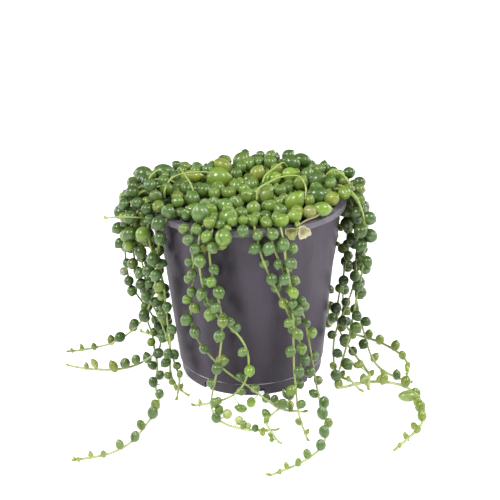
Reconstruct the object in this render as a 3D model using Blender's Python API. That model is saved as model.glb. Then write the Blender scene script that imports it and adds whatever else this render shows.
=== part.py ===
"""Potted string of pearls: a round plastic nursery pot filled with soil, a matted crown of pearl-shaped
leaves, and long leafy stems that hang over the rim and trail out along the surface that the pot stands on.

Lengths are in millimetres, and mesh_object() turns them into Blender's metres. +Z is up, the origin is the
centre of the pot's underside, and the front is -Y. An azimuth is in degrees round the pot from the front,
positive towards +X.
"""

import math
import random
from collections import namedtuple

import bpy
import numpy as np
from mathutils import Vector
from mathutils.kdtree import KDTree

# ---------------------------------------------------------------- driving dimensions
MM = 0.001
POT_HEIGHT = 112.0
RIM_RADIUS = 60.0  # outside of the lip
NECK_RADIUS = 56.0  # outside of the wall, just under the lip
BASE_RADIUS = 45.5
WALL = 1.4
LIP_DROP = 3.6
SOIL_TOP = 104.0
SOIL_DOME = 2.0  # how far the soil rises in the middle
GAP = 0.35  # clear space kept between separate pieces

STEM_RADIUS = 0.75
TIP_STEM_RADIUS = 0.5
ROOT_RADIUS = 51.0  # where the trailing stems leave the soil
ROOT_DEPTH = 6.0
LYING = STEM_RADIUS + GAP  # height of a stem's axis where it lies on the surface
STEM_STEP = 2.5  # spacing of the points along a stem
SLACK = 0.55  # how far a stem's straight runs may stray from its curve
HANG_FROM = POT_HEIGHT - 11.0  # height from which a stem hangs free

LEAF = 3.4  # radius of a hanging leaf
OLD_LEAF = 4.2
OLD_STRETCH = 28.0  # length of stem from its root that carries old leaves, with all that is above the lip
YOUNG_LEAF = 1.3  # radius of the leaf at a growing tip
LEAF_GROWTH = 0.05  # gain in radius with each millimetre from the tip
SPRIG_GROWTH = 0.3  # the same in the crown's short stems
CROWN_LEAF = (3.8, 5.0)  # radii of the leaves heaped in the crown
CROWN_LEAF_LOSS = 1.0  # how much smaller the last of them are
BARE_ROOT = 10.0  # length of stem from its root that has no leaves
CROWDED_BESIDE = 85.0  # height down to which the stems at the pot's sides are crowded with leaves

CORE_RADIUS = 46.0  # the mat of old stems under the crown's leaves
CORE_EDGE = 109.5
CORE_TOP = 114.5
CORE_ROWS = 4
CROWN_REACH = 50.0  # outermost leaf centres of the crown
HEAP_FRONT = 113.4  # height of the heap of leaves at the front, less a share of each leaf's size
HEAP_SLOPE = 0.1  # its rise towards the back
BARE_PLACE = (-30.0, 46.0)  # where soil and lip show between the crown's leaves, at the back left
BARE_RADIUS = 13.0

# ---------------------------------------------------------------- layout of stems and leaves
# rim: azimuth where it crosses the lip. lift: how much higher than the lip it arches. hang: radius at which it
# hangs. open: how much further apart its leaves are on its lower half. run: the points that it passes on the
# surface, as x and y, the first being where it touches down. fall: the points that it passes while it hangs.
# A stem without a fall drifts evenly to its run. sway: its sideways bow, in degrees.
Strand = namedtuple("Strand", "rim lift hang open run fall sway", defaults=[(), 0])

STRANDS = [
    # front left
    Strand(-31, 0, 64, 1.8, [(19, -66), (30, -67)],
           [(-32, -57, 101), (-31, -57, 88), (-34, -54, 70), (-35, -53, 58), (-34, -54, 46), (-29, -57, 40),
            (-18, -61, 28), (-7, -63, 19), (9, -65, 8)]),
    Strand(-25, 1, 66, 2.2, [(-29, -57), (-35, -57)],
           [(-29, -61, 101), (-26, -60, 75), (-23, -61, 65), (-19, -62, 59), (-13, -64, 57), (-8, -65, 54),
            (-4, -65, 48), (-1, -65, 39), (-1, -65, 31), (-3, -64, 21), (-8, -63, 12), (-18, -61, 6)]),
    Strand(-19, 1, 67, 2.2, [(-26, -66), (-22, -74), (-12, -83), (0, -87), (13, -86)],
           [(-23, -63, 101), (-21, -64, 90), (-19, -65, 77), (-16, -66, 67), (-16, -67, 56), (-19, -66, 34),
            (-22, -65, 20), (-25, -64, 9)]),
    # front right
    Strand(3, 0, 65, 1.5, [(22, -64), (14, -69), (6, -73), (4, -79), (8, -89), (14, -99)],
           [(6, -65, 101), (9, -64, 91), (17, -62, 73), (26, -59, 50), (30, -57, 39), (30, -56, 31),
            (28, -57, 21), (26, -59, 9)]),
    Strand(10, 1, 66, 1.2,
           [(40, -61), (42, -74), (42, -84), (41, -96), (35, -110), (22, -122), (8, -130)],
           [(14, -65, 101), (23, -62, 80), (30, -58, 61), (35, -55, 32), (38, -54, 12)]),
    Strand(17, 0, 69, 1.6, [(26, -72), (28, -83), (30, -97)],
           [(19, -66, 101), (22, -67, 85), (24, -66, 64), (24, -65, 34), (25, -65, 19), (26, -67, 8)]),
    # left side
    Strand(-50, 1, 62, 1.6, [(-104, 23), (-113, 17), (-124, 17)],
           [(-51, -37, 101), (-55, -30, 91), (-58, -26, 75), (-60, -22, 62), (-63, -15, 47), (-67, -8, 36),
            (-75, 3, 24), (-85, 13, 12), (-95, 19, 4)]),
    Strand(-66, 3, 66, 1.3, [(-50, -24), (-45, -38), (-40, -44)],
           [(-60, -27, 101), (-56, -31, 90), (-51, -32, 72), (-51, -32, 60), (-52, -30, 50), (-49, -31, 37),
            (-50, -31, 26), (-51, -28, 12)]),
    Strand(-74, 5, 72, 1.6, [(-47, -28), (-44, -38), (-46, -48)],
           [(-69, -22, 101), (-66, -20, 88), (-64, -20, 74), (-61, -20, 56), (-57, -22, 45), (-53, -22, 33),
            (-50, -22, 18), (-48, -24, 6)]),
    Strand(-82, 7, 74, 1.3,
           [(-60, -20), (-61, -35), (-55, -56), (-62, -76), (-66, -92), (-78, -107), (-97, -111)],
           [(-73, -12, 101), (-72, -8, 88), (-69, -5, 58), (-66, -3, 46), (-66, -2, 27), (-60, -4, 18),
            (-60, -10, 9)]),
    Strand(-90, 9, 77, 2.0, [(-76, -8), (-88, -11), (-105, -9), (-119, -3)],
           [(-77, -2, 101), (-77, 0, 79), (-78, 1, 66), (-77, 2, 57), (-73, 2, 49), (-68, 0, 41), (-62, -3, 31),
            (-58, -6, 24), (-57, -7, 17), (-62, -7, 10), (-68, -7, 5)]),
    Strand(-98, 9, 72, 1.4, [], [(-71, 10, 101), (-70, 12, 80), (-66, 14, 60), (-64, 12, 44)]),
    Strand(-107, 8, 68, 1.3, [(-58, 28), (-64, 38), (-76, 44)],
           [(-65, 20, 101), (-62, 22, 80), (-60, 24, 50), (-58, 24, 20)]),
    # right side
    Strand(78, 6, 70, 1.4,
           [(48, -45), (53, -43), (62, -36), (74, -33), (88, -35), (98, -44), (101, -62), (98, -82),
            (77, -109)],
           [(68, -20, 109), (69, -22, 100), (69, -22, 88), (69, -20, 70), (66, -20, 58), (64, -21, 46),
            (62, -22, 33), (59, -26, 22), (54, -34, 10)]),
    Strand(86, 5, 64, 1.7, [(72, -16), (74, -28), (71, -41)],
           [(63, -9, 101), (61, -6, 92), (62, -4, 76), (60, -4, 68), (57, -6, 54), (54, -8, 40), (54, -10, 27),
            (60, -12, 17), (68, -12, 6)]),
    Strand(94, 6, 68, 1.5, [(52, -28), (58, -38), (66, -44)],
           [(68, 1, 101), (67, -2, 79), (67, -3, 66), (65, -6, 52), (57, -12, 36), (51, -18, 25),
            (51, -23, 12)]),
    Strand(102, 7, 70, 1.6, [(80, -20), (88, -27), (96, -34)],
           [(69, 9, 101), (68, 6, 80), (67, 3, 64), (66, 0, 50), (68, -5, 38), (72, -9, 22), (76, -13, 6)]),
    Strand(110, 6, 66, 1.6, [(67, 30), (78, 28), (89, 17), (98, 2), (101, -10), (99, -22), (95, -33)],
           [(63, 19, 101), (63, 16, 80), (61, 18, 50), (62, 24, 20)]),
    Strand(118, 6, 66, 1.3, [], [(59, 29, 101), (58, 26, 80), (55, 26, 60)]),
]
# Short stems of the crown that arch over the lip: azimuth, height over the lip, radius of their outermost
# stretch, height of their tip, and largest radius of the leaf that ends them, or 0 for young ones.
Sprig = namedtuple("Sprig", "rim lift reach tip end")
PLACED_SPRIGS = [
    # in front
    Sprig(-13, 117, 64, 113, 5.0),
    Sprig(-4, 117, 63, 115, 3.8),
    Sprig(26, 116, 63, 112, 3.8),
    # at the left
    Sprig(-112, 121, 66, 121, 5.0),
    Sprig(-104, 121, 70, 119, 4.0),
    Sprig(-93, 120, 62, 118, 4.6),
    Sprig(-82, 119, 71, 114, 3.8),
    # at the right
    Sprig(82, 119, 58, 119, 4.6),
    Sprig(90, 118, 65, 116, 4.2),
    Sprig(106, 119, 63, 120, 4.0),
]
SPRIG_RIMS = (98, 122, 136, 150, 164, 178, 192, 222, 234)  # azimuths of the others, which follow a rule
SPRIG_LIFT = (115.5, 119.0)
SPRIG_REACH = (66.0, 72.0)
SPRIG_DROP = (6.0, 16.0)  # how far the tip hangs below the highest point
SPRIG_ENDS = (0, 3.4, 4.0)
SPRIG_SEED = 3
BACK_RIMS = (128, 141, 154, 167, 180, 192, 228, 242)  # azimuths of the trailing stems behind
BACK_HANG = (65, 68, 70)
BACK_FOOT = 66.0  # how far from the pot's axis they touch down, and the spacing of the points from there
BACK_STRIDE = 13.0
BACK_SEED = 11
LEAF_SEED = 5
BIG_SEED = 2
WANDER_SEED = 400
WANDER = 2.2  # how far a hanging stem strays sideways, in degrees
CROWN_SEED = 23

# The most prominent leaves inside the lip, as x, y, height and radius.
Big = namedtuple("Big", "x y z radius")
BIG_LEAVES = [
    # along the back, from left to right
    Big(-45, 36, 123, 3.2),
    Big(-39, 32, 123, 3.2),
    Big(-15, 30, 124, 5.0),
    Big(-4, 43, 125, 4.8),
    Big(-4, 28, 123, 3.7),
    Big(9, 49, 125, 2.9),
    Big(15, 35, 124, 4.7),
    Big(27, 47, 125, 3.9),
    Big(28, 33, 124, 4.6),
    Big(35, 38, 124, 4.4),
    # across the middle
    Big(-52, 20, 123, 5.0),
    Big(-35, 17, 121, 4.6),
    Big(-18, 10, 122, 6.4),
    Big(6, 17, 122, 4.4),
    Big(16, 9, 121, 4.0),
    Big(26, 13, 122, 4.3),
    Big(37, 11, 122, 4.7),
    Big(42, 3, 121, 5.0),
    Big(50, 0, 120, 3.9),
    Big(-37, -5, 120, 3.6),
    Big(-20, -12, 119, 3.7),
    Big(-12, -12, 119, 3.8),
    Big(-41, -23, 118, 3.7),
    # front right
    Big(41, -20, 119, 5.1),
    Big(49, -24, 118, 4.1),
    Big(42, -40, 116, 4.3),
    Big(35, -42, 116, 3.8),
    Big(27, -28, 118, 5.2),
    Big(33, -26, 117, 3.8),
    Big(28, -41, 116, 3.9),
    Big(25, -51, 115, 4.1),
    Big(18, -55, 115, 4.0),
    Big(10, -18, 119, 4.7),
    Big(3, -36, 117, 4.4),
    Big(13, -32, 117, 4.1),
    # front left
    Big(-23, -49, 116, 5.4),
    Big(-11, -51, 116, 5.3),
    Big(-13, -30, 117, 4.6),
    Big(-25, -27, 117, 3.9),
    Big(-35, -41, 116, 3.8),
]

# The most prominent leaves outside the lip; each grows from the trailing stem nearest to it.
OUTER_LEAVES = [
    # in front, from left to right
    Big(-30, -55, 114, 3.7),
    Big(-32, -57, 108, 3.7),
    Big(-24, -60, 110, 3.7),
    Big(-17, -61, 114, 3.6),
    Big(2, -63, 113, 3.8),
    Big(2, -66, 107, 3.8),
    Big(9, -61, 115, 3.7),
    Big(11, -65, 104, 3.8),
    Big(18, -64, 105, 4.0),
    # at the left
    Big(-74, -10, 111, 3.6),
    Big(-76, -16, 105, 3.4),
    Big(-51, -38, 102, 3.8),
    # at the right
    Big(67, -14, 114, 3.4),
    Big(63, -17, 106, 4.0),
    Big(71, -17, 108, 3.8),
    Big(61, -5, 95, 4.4),
    Big(57, -9, 104, 3.6),
]

# A leaf: the point in its stem where it grows, its centre, its tip, and its radius.
Leaf = namedtuple("Leaf", "root centre tip radius")
TIP_REACH = 1.12  # how far a leaf's tip stands from its centre, in radii
TIP_ROOM = 0.15  # room kept for a leaf's tip
SEAT = 0.84  # how far a leaf's centre stands from its stem's axis, in radii
NECK = 0.5  # radius of the room kept for a leaf's stalk, in the leaf's radii
TOUCHING = 8.0  # height under which a stem counts as lying on the surface
LYING_OPEN = 1.25  # how much further apart leaves are where their stem lies on the surface
SPREAD = (0.75, 1.35)  # range of the spacing between leaves, as a share of the even one
OWN_OVERLAP = 0.5  # how deep a leaf may sink into its neighbours on the same stem, in millimetres
CROWN_OVERLAP = 0.1  # the same in the crown, in radii
LEAF_FAN = (-0.6, 1.5)  # range of the angle at which a leaf stands out from its stem, up from sideways
LEAF_TURNS = 24  # directions tried for a leaf, the later ones with a smaller leaf
TURN_LOSS = 0.97  # size of such a smaller leaf to the one tried before it
END_LOSS = 0.94  # the same for the leaf that ends a short stem
NUDGES = 60  # places tried for a prominent leaf
NEAR_SPOTS = 6  # points of stems from which a prominent leaf is tried
FURTHEST_NUDGE = 3.0
NUDGE_LOSS = 0.15  # share of its radius that the furthest nudge costs a prominent leaf


def round_pot(azimuth, radius, z):
    """The point at that azimuth, distance from the pot's axis and height."""
    angle = math.radians(azimuth)
    return Vector((radius * math.sin(angle), -radius * math.cos(angle), z))


def back_strands():
    """The stems behind the pot, each with its own length and turn on the surface."""
    rng = random.Random(BACK_SEED)
    made = []
    for rim in BACK_RIMS:
        foot = rim + rng.uniform(-5, 5)
        turn = rng.choice((-1, 1)) * rng.uniform(8, 16)
        steps = rng.randint(2, 4)
        run = [
            round_pot(foot + turn * k * k / steps, BACK_FOOT + BACK_STRIDE * k, 0).to_2d().to_tuple()
            for k in range(steps)
        ]
        hang = rng.choice(BACK_HANG)
        lift = rng.uniform(0, 4)
        sway = rng.uniform(-4, 4)
        made.append(Strand(rim, lift, hang, rng.uniform(1.2, 2.0), run, sway=sway))
    return made


def over_the_rim(rim, lift, hang):
    """The points that a stem passes from its root in the soil to the outside of the lip."""
    over = POT_HEIGHT + STEM_RADIUS + GAP
    return [
        round_pot(rim, ROOT_RADIUS, SOIL_TOP - ROOT_DEPTH),
        round_pot(rim, ROOT_RADIUS, SOIL_TOP + 3.0),
        round_pot(rim, ROOT_RADIUS + 2.5, over + 0.8 + 0.6 * lift),
        round_pot(rim, RIM_RADIUS - 2.0, over + 2.0 + lift),
        round_pot(rim, (RIM_RADIUS + hang) / 2 + 1.5, over - 0.5 + 0.8 * lift),
    ]


def even_fall(strand):
    """The points of a hanging stem that drifts evenly from the lip to its run, with a small wander."""
    x, y = strand.run[0]
    foot_radius = math.hypot(x, y)
    drift = (math.degrees(math.atan2(x, -y)) - strand.rim + 180) % 360 - 180
    rng = random.Random(WANDER_SEED + strand.rim)
    points = [round_pot(strand.rim, strand.hang, HANG_FROM)]
    for t in (0.2, 0.4, 0.6, 0.8):
        wander = rng.uniform(-WANDER, WANDER)
        azimuth = strand.rim + drift * t + strand.sway * math.sin(math.pi * t) + wander
        radius = strand.hang + (foot_radius - strand.hang) * t**3 + abs(wander) / 2
        points.append(round_pot(azimuth, radius, HANG_FROM * (1 - t)))
    return points


def way_points(strand):
    """The points that a trailing stem passes, from its root in the soil to its tip."""
    points = over_the_rim(strand.rim, strand.lift, strand.hang)
    points += [Vector(point) for point in strand.fall] or even_fall(strand)
    return points + [Vector((x, y, LYING)) for x, y in strand.run]


def all_sprigs():
    """The crown's short stems."""
    rng = random.Random(SPRIG_SEED)
    made = list(PLACED_SPRIGS)
    for rim in SPRIG_RIMS:
        lift = rng.uniform(*SPRIG_LIFT)
        end = rng.choice(SPRIG_ENDS)
        reach = rng.uniform(*SPRIG_REACH)
        made.append(Sprig(rim + rng.uniform(-3, 3), lift, reach, lift - rng.uniform(*SPRIG_DROP), end))
    return made


def sprig_points(sprig):
    """The points that a short stem passes, from its root in the mat to its tip outside the lip."""
    inner = CORE_RADIUS - 9.0
    return [
        round_pot(sprig.rim, inner, core_height(inner) - 2.5),
        round_pot(sprig.rim, CORE_RADIUS + 1.0, sprig.lift - 1.5),
        round_pot(sprig.rim, RIM_RADIUS - 3.0, sprig.lift),
        round_pot(sprig.rim + 1.5, sprig.reach - 1.0, (sprig.lift + sprig.tip) / 2 + 1.0),
        round_pot(sprig.rim + 1.0, sprig.reach, sprig.tip),
    ]


def smooth(points, step):
    """Points at about that spacing along a Catmull-Rom curve through the given points."""
    ends = [2 * points[0] - points[1], *points, 2 * points[-1] - points[-2]]
    line = []
    for a, b, c, d in zip(ends, ends[1:], ends[2:], ends[3:]):
        count = max(2, round((c - b).length))
        for k in range(count):
            t = k / count
            line.append(
                b + (c - a) * t / 2 + (2 * a - 5 * b + 4 * c - d) * t**2 / 2 + (3 * b - a - 3 * c + d) * t**3 / 2
            )
    line = np.array([*line, points[-1]], float)
    along = np.concatenate([[0], np.cumsum(np.linalg.norm(np.diff(line, axis=0), axis=1))])
    marks = np.linspace(0, along[-1], max(3, round(along[-1] / step) + 1))
    return np.stack([np.interp(marks, along, line[:, k]) for k in range(3)], axis=1)


def core_height(radius):
    return CORE_EDGE + (CORE_TOP - CORE_EDGE) * (1 - (radius / CORE_RADIUS) ** 2)


# The outside of the pot and soil in the half-plane of radius and height, and the same with the mat on top.
OUTLINE = [
    (0, 0),
    (BASE_RADIUS, 0),
    (NECK_RADIUS, POT_HEIGHT - LIP_DROP),
    (RIM_RADIUS, POT_HEIGHT - LIP_DROP),
    (RIM_RADIUS, POT_HEIGHT),
    (NECK_RADIUS - WALL, POT_HEIGHT),
    (NECK_RADIUS - WALL, SOIL_TOP),
    (0, SOIL_TOP + SOIL_DOME),
]
MATTED_OUTLINE = OUTLINE[:-1] + [(CORE_RADIUS, SOIL_TOP)]
for row in range(CORE_ROWS, -1, -1):
    MATTED_OUTLINE.append((CORE_RADIUS * row / CORE_ROWS, core_height(CORE_RADIUS * row / CORE_ROWS)))


def nearest_on(outline, radius, z):
    """The point of an outline nearest to this one, as distance from the pot's axis and height."""
    here = Vector((radius, z))
    best = None
    for a, b in zip(outline, outline[1:]):
        a, b = Vector(a), Vector(b)
        t = max(0.0, min(1.0, (here - a).dot(b - a) / (b - a).length_squared))
        point = a + (b - a) * t
        if best is None or (point - here).length < (best - here).length:
            best = point
    return best


def clearance(point, outline):
    radius = math.hypot(point[0], point[1])
    return (nearest_on(outline, radius, point[2]) - Vector((radius, point[2]))).length


SETTLE_ROUNDS = 60
APART = 2 * STEM_RADIUS + 2.95  # distance that settled stems keep from each other
CLEAR = STEM_RADIUS + GAP + 0.5  # distance from the pot that a settled stem's axis keeps
CROSSING = 6.0  # height over the surface under which stems pass over or under each other
PUSH = 0.35
EASE = 0.2


def settle(routes):
    """Moves the stems clear of each other, of the pot and of the surface, each above those before it where
    they cross on the surface; their roots stay put."""
    rooted = [sum(1 for x, y, z in route if math.hypot(x, y) < ROOT_RADIUS + 1) for route in routes]
    for _ in range(SETTLE_ROUNDS):
        tree = KDTree(sum(len(route) for route in routes))
        owners = []
        for owner, route in enumerate(routes):
            for point in route:
                tree.insert(point, len(owners))
                owners.append(owner)
        tree.balance()
        for owner, route in enumerate(routes):
            moved = route.copy()
            free = range(rooted[owner], len(route))
            for k in free:
                here = Vector(route[k])
                for other, index, distance in tree.find_range(here, APART):
                    if owners[index] != owner:
                        away = (here - other) / (distance + 0.01)
                        if here.z < LYING + CROSSING:
                            away.z += 1.0 if owner > owners[index] else -1.0
                        moved[k] += away * (APART - distance) * PUSH
            inner = slice(free.start, len(route) - 1)
            middle = (moved[free.start - 1 : -2] + moved[free.start + 1 :]) / 2
            moved[inner] += (middle - moved[inner]) * EASE
            for k in free:
                radius = math.hypot(moved[k][0], moved[k][1])
                near = nearest_on(OUTLINE, radius, moved[k][2])
                away = Vector((radius, moved[k][2])) - near
                if away.length < CLEAR:
                    away *= CLEAR / away.length - 1
                    moved[k][:2] *= (radius + away.x) / radius
                    moved[k][2] += away.y
                moved[k][2] = max(moved[k][2], LYING)
            routes[owner] = moved
    return routes


class Space:
    """The balls and stems placed so far, each with its owner: a trailing stem's number, or the crown's."""

    def __init__(self, routes, crown):
        self.centres = np.empty((0, 3))
        self.radii = np.empty(0)
        self.owners = np.empty(0, int)
        halved = [np.concatenate([route, (route[1:] + route[:-1]) / 2]) for route in routes]
        self.stems = np.concatenate(halved)
        self.stem_owners = np.concatenate([np.full(len(line), min(k, crown)) for k, line in enumerate(halved)])

    def add(self, leaf, owner):
        """Keeps the room that a leaf and its point take up."""
        self.centres = np.vstack([self.centres, [leaf.centre], [leaf.tip]])
        self.radii = np.append(self.radii, (leaf.radius, TIP_ROOM))
        self.owners = np.append(self.owners, (owner, owner))

    def takes(self, leaf, owner, outline, own_overlap):
        """Whether a leaf has room: clear of what others own, and not deep in another leaf of its own stem."""
        neck = leaf.root.lerp(leaf.centre, 0.5)
        return (
            self.free(leaf.centre, leaf.radius, owner, outline, own_overlap)
            and self.free(leaf.tip, TIP_ROOM, owner, outline, leaf.radius)
            and self.free(neck, leaf.radius * NECK, owner, OUTLINE, leaf.radius)
        )

    def free(self, centre, radius, owner, outline, own_overlap):
        if centre[2] - radius < GAP or clearance(centre, outline) < radius + GAP:
            return False
        off = np.linalg.norm(self.stems - np.array(centre), axis=1)
        if (off[self.stem_owners != owner] < radius + STEM_RADIUS + GAP + SLACK).any():
            return False
        if not len(self.radii):
            return True
        off = np.linalg.norm(self.centres - np.array(centre), axis=1) - self.radii
        mine = self.owners == owner
        return not ((off[~mine] < radius + GAP).any() or (off[mine] < radius - own_overlap).any())


def stem_leaves(route, owner, open_by, space, rng):
    """Leaves set along a stem on alternate sides, each turned to where it fits. They are large in the crown and
    middling on the hanging stems, and shrink towards the growing tip. They stand further apart on a trailing
    stem's lower half, by open_by, which is 0 for a short stem, and where it lies on the surface."""
    length = (len(route) - 1) * STEM_STEP
    short = open_by == 0
    growth = SPRIG_GROWTH if short else LEAF_GROWTH
    along = BARE_ROOT
    side = 1
    made = []
    while along < length - 1.0:
        mark = along / STEM_STEP
        k = min(int(mark), len(route) - 2)
        here = Vector(route[k]).lerp(Vector(route[k + 1]), mark - k)
        forward = (Vector(route[k + 1]) - Vector(route[k])).normalized()
        beside = abs(here.x) > CORE_RADIUS
        crowded = short or along < OLD_STRETCH or here.z > (CROWDED_BESIDE if beside else POT_HEIGHT)
        full = OLD_LEAF if crowded else LEAF
        radius = min(full * rng.uniform(0.86, 1.12), YOUNG_LEAF + growth * (length - along))
        flat = forward.cross((0, 0, 1))
        if flat.length < 0.3:
            flat = Vector((here.y, -here.x, 0))
        flat = flat.normalized() * side
        up = flat.cross(forward) * side
        for turn in range(LEAF_TURNS):
            if turn > LEAF_TURNS / 2:
                radius *= TURN_LOSS
            angle = rng.uniform(*LEAF_FAN)
            out = (flat * math.cos(angle) + up * math.sin(angle)).normalized()
            centre = here + out * radius * SEAT
            if centre.z - radius < GAP and out.z > -0.9:
                lift = min(0.97, (radius + GAP + 0.02 - here.z) / (radius * SEAT))
                level = Vector((out.x, out.y, 0)).normalized() * math.sqrt(max(0.0, 1 - lift * lift))
                out = Vector((level.x, level.y, lift))
                centre = here + out * radius * SEAT
            droop = Vector((0, 0, -0.45 if here.z > 12 else 0.25))
            axis = (out + forward * 0.35 + droop).normalized()
            leaf = Leaf(here, centre, centre + axis * radius * TIP_REACH, radius)
            if space.takes(leaf, owner, MATTED_OUTLINE, OWN_OVERLAP):
                made.append(leaf)
                space.add(leaf, owner)
                break
        side = -side
        spacing = radius + 1.0 if crowded else 1.6 * radius + 1.6
        if not short and here.z < POT_HEIGHT / 2:
            spacing *= open_by
        if here.z < TOUCHING:
            spacing *= LYING_OPEN
        along += rng.uniform(*SPREAD) * spacing
    return made


def end_leaf(route, radius, space, owner):
    """The leaf that ends a short stem, as large as there is room for up to that radius, or None."""
    end = Vector(route[-1])
    ahead = (end - Vector(route[-2])).normalized()
    while radius > YOUNG_LEAF:
        centre = end + ahead * radius * SEAT
        leaf = Leaf(end - ahead * STEM_RADIUS, centre, centre + ahead * radius * TIP_REACH, radius)
        if space.takes(leaf, owner, OUTLINE, OWN_OVERLAP):
            space.add(leaf, owner)
            return leaf
        radius *= END_LOSS
    return None


def outer_leaves(routes, space):
    """The prominent leaves of each trailing stem, each as near its place as there is room."""
    rng = random.Random(BIG_SEED)
    made = [[] for _ in routes]
    spots = [(Vector(point), owner) for owner, route in enumerate(routes) for point in route]
    for big in OUTER_LEAVES:
        place = Vector(big[:3])
        near = sorted(spots, key=lambda spot: (spot[0] - place).length)[:NEAR_SPOTS]
        for k in range(NUDGES):
            root, owner = near[k * NEAR_SPOTS // NUDGES]
            spread = Vector([rng.gauss(0, FURTHEST_NUDGE * k / NUDGES) for _ in range(3)])
            out = (place + spread - root).normalized()
            radius = big.radius * (1 - NUDGE_LOSS * k / NUDGES)
            centre = root + out * radius * SEAT
            axis = (out + Vector((0, 0, -0.7))).normalized()
            leaf = Leaf(root, centre, centre + axis * radius * TIP_REACH, radius)
            if space.takes(leaf, owner, OUTLINE, CROWN_OVERLAP * radius):
                made[owner].append(leaf)
                space.add(leaf, owner)
                break
    return made


def mat_leaf(centre, radius, rng):
    """A leaf of the crown, with its stalk sunk in the mat and its tip turned outwards."""
    spot = math.hypot(centre.x, centre.y)
    azimuth = math.degrees(math.atan2(centre.x, -centre.y))
    rooted = min(spot, CORE_RADIUS - 3.0)
    lean = round_pot(azimuth + rng.uniform(-70, 70), 1.0, 0) * rng.uniform(0.2, 1.1)
    axis = (lean + Vector((0, 0, rng.uniform(0.2, 1.0)))).normalized()
    root = round_pot(azimuth, rooted, core_height(rooted) - 1.5)
    return Leaf(root, centre, centre + axis * radius * TIP_REACH, radius)


def big_leaves(space, owner):
    """The prominent leaves, each at its place or as near to it as there is room."""
    rng = random.Random(BIG_SEED)
    made = []
    for big in BIG_LEAVES:
        for k in range(NUDGES):
            shift = Vector([rng.gauss(0, FURTHEST_NUDGE * k / NUDGES) for _ in range(3)])
            leaf = mat_leaf(Vector(big[:3]) + shift, big.radius * (1 - NUDGE_LOSS * k / NUDGES), rng)
            if space.takes(leaf, owner, OUTLINE, CROWN_OVERLAP * leaf.radius):
                made.append(leaf)
                space.add(leaf, owner)
                break
    return made


def crown_leaves(space, owner, tries=7000):
    """Leaves heaped on the mat between the prominent ones, large ones first."""
    rng = random.Random(CROWN_SEED)
    made = []
    for k in range(tries):
        radius = rng.uniform(*CROWN_LEAF) - CROWN_LEAF_LOSS * k / tries
        here = round_pot(rng.uniform(0, 360), CROWN_REACH * math.sqrt(rng.random()), 0)
        if (here.to_2d() - Vector(BARE_PLACE)).length < BARE_RADIUS:
            continue
        low = core_height(min(here.length, CORE_RADIUS)) + 0.35 * radius
        high = HEAP_FRONT + 0.45 * radius + HEAP_SLOPE * (here.y + CROWN_REACH)
        here.z = low + max(1.0, high - low) * rng.random() ** 0.6
        leaf = mat_leaf(here, radius, rng)
        if space.takes(leaf, owner, OUTLINE, CROWN_OVERLAP * radius):
            made.append(leaf)
            space.add(leaf, owner)
    return made


def layout():
    """(routes of the trailing stems, their leaves, routes of the sprigs, their leaves, leaves of the crown)."""
    strands = STRANDS + back_strands()
    trailing = [way_points(strand) for strand in strands]
    sprigs = all_sprigs()
    short = [sprig_points(sprig) for sprig in sprigs]
    routes = settle([smooth(way, STEM_STEP) for way in trailing + short])
    crown = len(trailing)
    space = Space(routes, crown)
    ends = [end_leaf(route, sprig.end, space, crown) for route, sprig in zip(routes[crown:], sprigs)]
    crown_set = big_leaves(space, crown)
    outer = outer_leaves(routes[:crown], space)
    rng = random.Random(LEAF_SEED)
    leaves = []
    for k, strand in enumerate(strands):
        leaves.append(outer[k] + stem_leaves(routes[k], k, strand.open, space, rng))
    sprig_leaves = [stem_leaves(route, crown, 0, space, rng) for route in routes[crown:]]
    for mine, end in zip(sprig_leaves, ends):
        mine.extend([end] if end else [])
    return routes[:crown], leaves, routes[crown:], sprig_leaves, crown_set + crown_leaves(space, crown)


# ---------------------------------------------------------------- meshes
SHARP_ANGLE = 50.0


def material(name, colour, roughness):
    """A plain finish of that linear colour."""
    made = bpy.data.materials.new(name)
    made.use_nodes = True
    shader = made.node_tree.nodes["Principled BSDF"]
    shader.inputs["Base Color"].default_value = (*colour, 1.0)
    shader.inputs["Roughness"].default_value = roughness
    shader.inputs["Metallic"].default_value = 0.0
    return made


def mesh_object(name, points, faces, finish=None):
    mesh = bpy.data.meshes.new(name)
    mesh.from_pydata([Vector(p) * MM for p in points], [], faces)
    if finish:
        mesh.materials.append(finish)
        shade_round(mesh)
    made = bpy.data.objects.new(name, mesh)
    bpy.context.scene.collection.objects.link(made)
    return made


def shade_round(mesh):
    """Smooth shading, but for the edges that are meant to be sharp."""
    mesh.shade_smooth()
    mesh.set_sharp_from_angle(angle=math.radians(SHARP_ANGLE))


def turned(profile, segments):
    """Points and faces of a solid turned about the pot's axis, its profile running from axis to axis."""
    points = []
    rings = []
    for radius, z in profile:
        if radius == 0:
            rings.append([len(points)] * segments)
            points.append((0, 0, z))
        else:
            rings.append(list(range(len(points), len(points) + segments)))
            points += [round_pot(360 * k / segments, radius, z) for k in range(segments)]
    faces = []
    for low, high in zip(rings, rings[1:]):
        for k in range(segments):
            n = (k + 1) % segments
            corners = [low[k], low[n], high[n], high[k]]
            faces.append(list(dict.fromkeys(corners)))
    return points, faces


def apply_boolean(body, operation, collection):
    """Joins or cuts the body with all that is in the collection, then removes that collection's objects."""
    step = body.modifiers.new("boolean", "BOOLEAN")
    step.operation = operation
    step.operand_type = "COLLECTION"
    step.collection = collection
    step.solver = "EXACT"
    bpy.context.view_layer.update()
    evaluated = body.evaluated_get(bpy.context.evaluated_depsgraph_get())
    joined = bpy.data.meshes.new_from_object(evaluated)
    body.modifiers.remove(step)
    body.data = joined
    shade_round(joined)
    for operand in list(collection.objects):
        bpy.data.objects.remove(operand)
    bpy.data.collections.remove(collection)


def gathered(name, objects):
    """A collection of those objects and no others."""
    group = bpy.data.collections.new(name)
    bpy.context.scene.collection.children.link(group)
    for each in objects:
        for holder in each.users_collection:
            holder.objects.unlink(each)
        group.objects.link(each)
    return group


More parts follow.
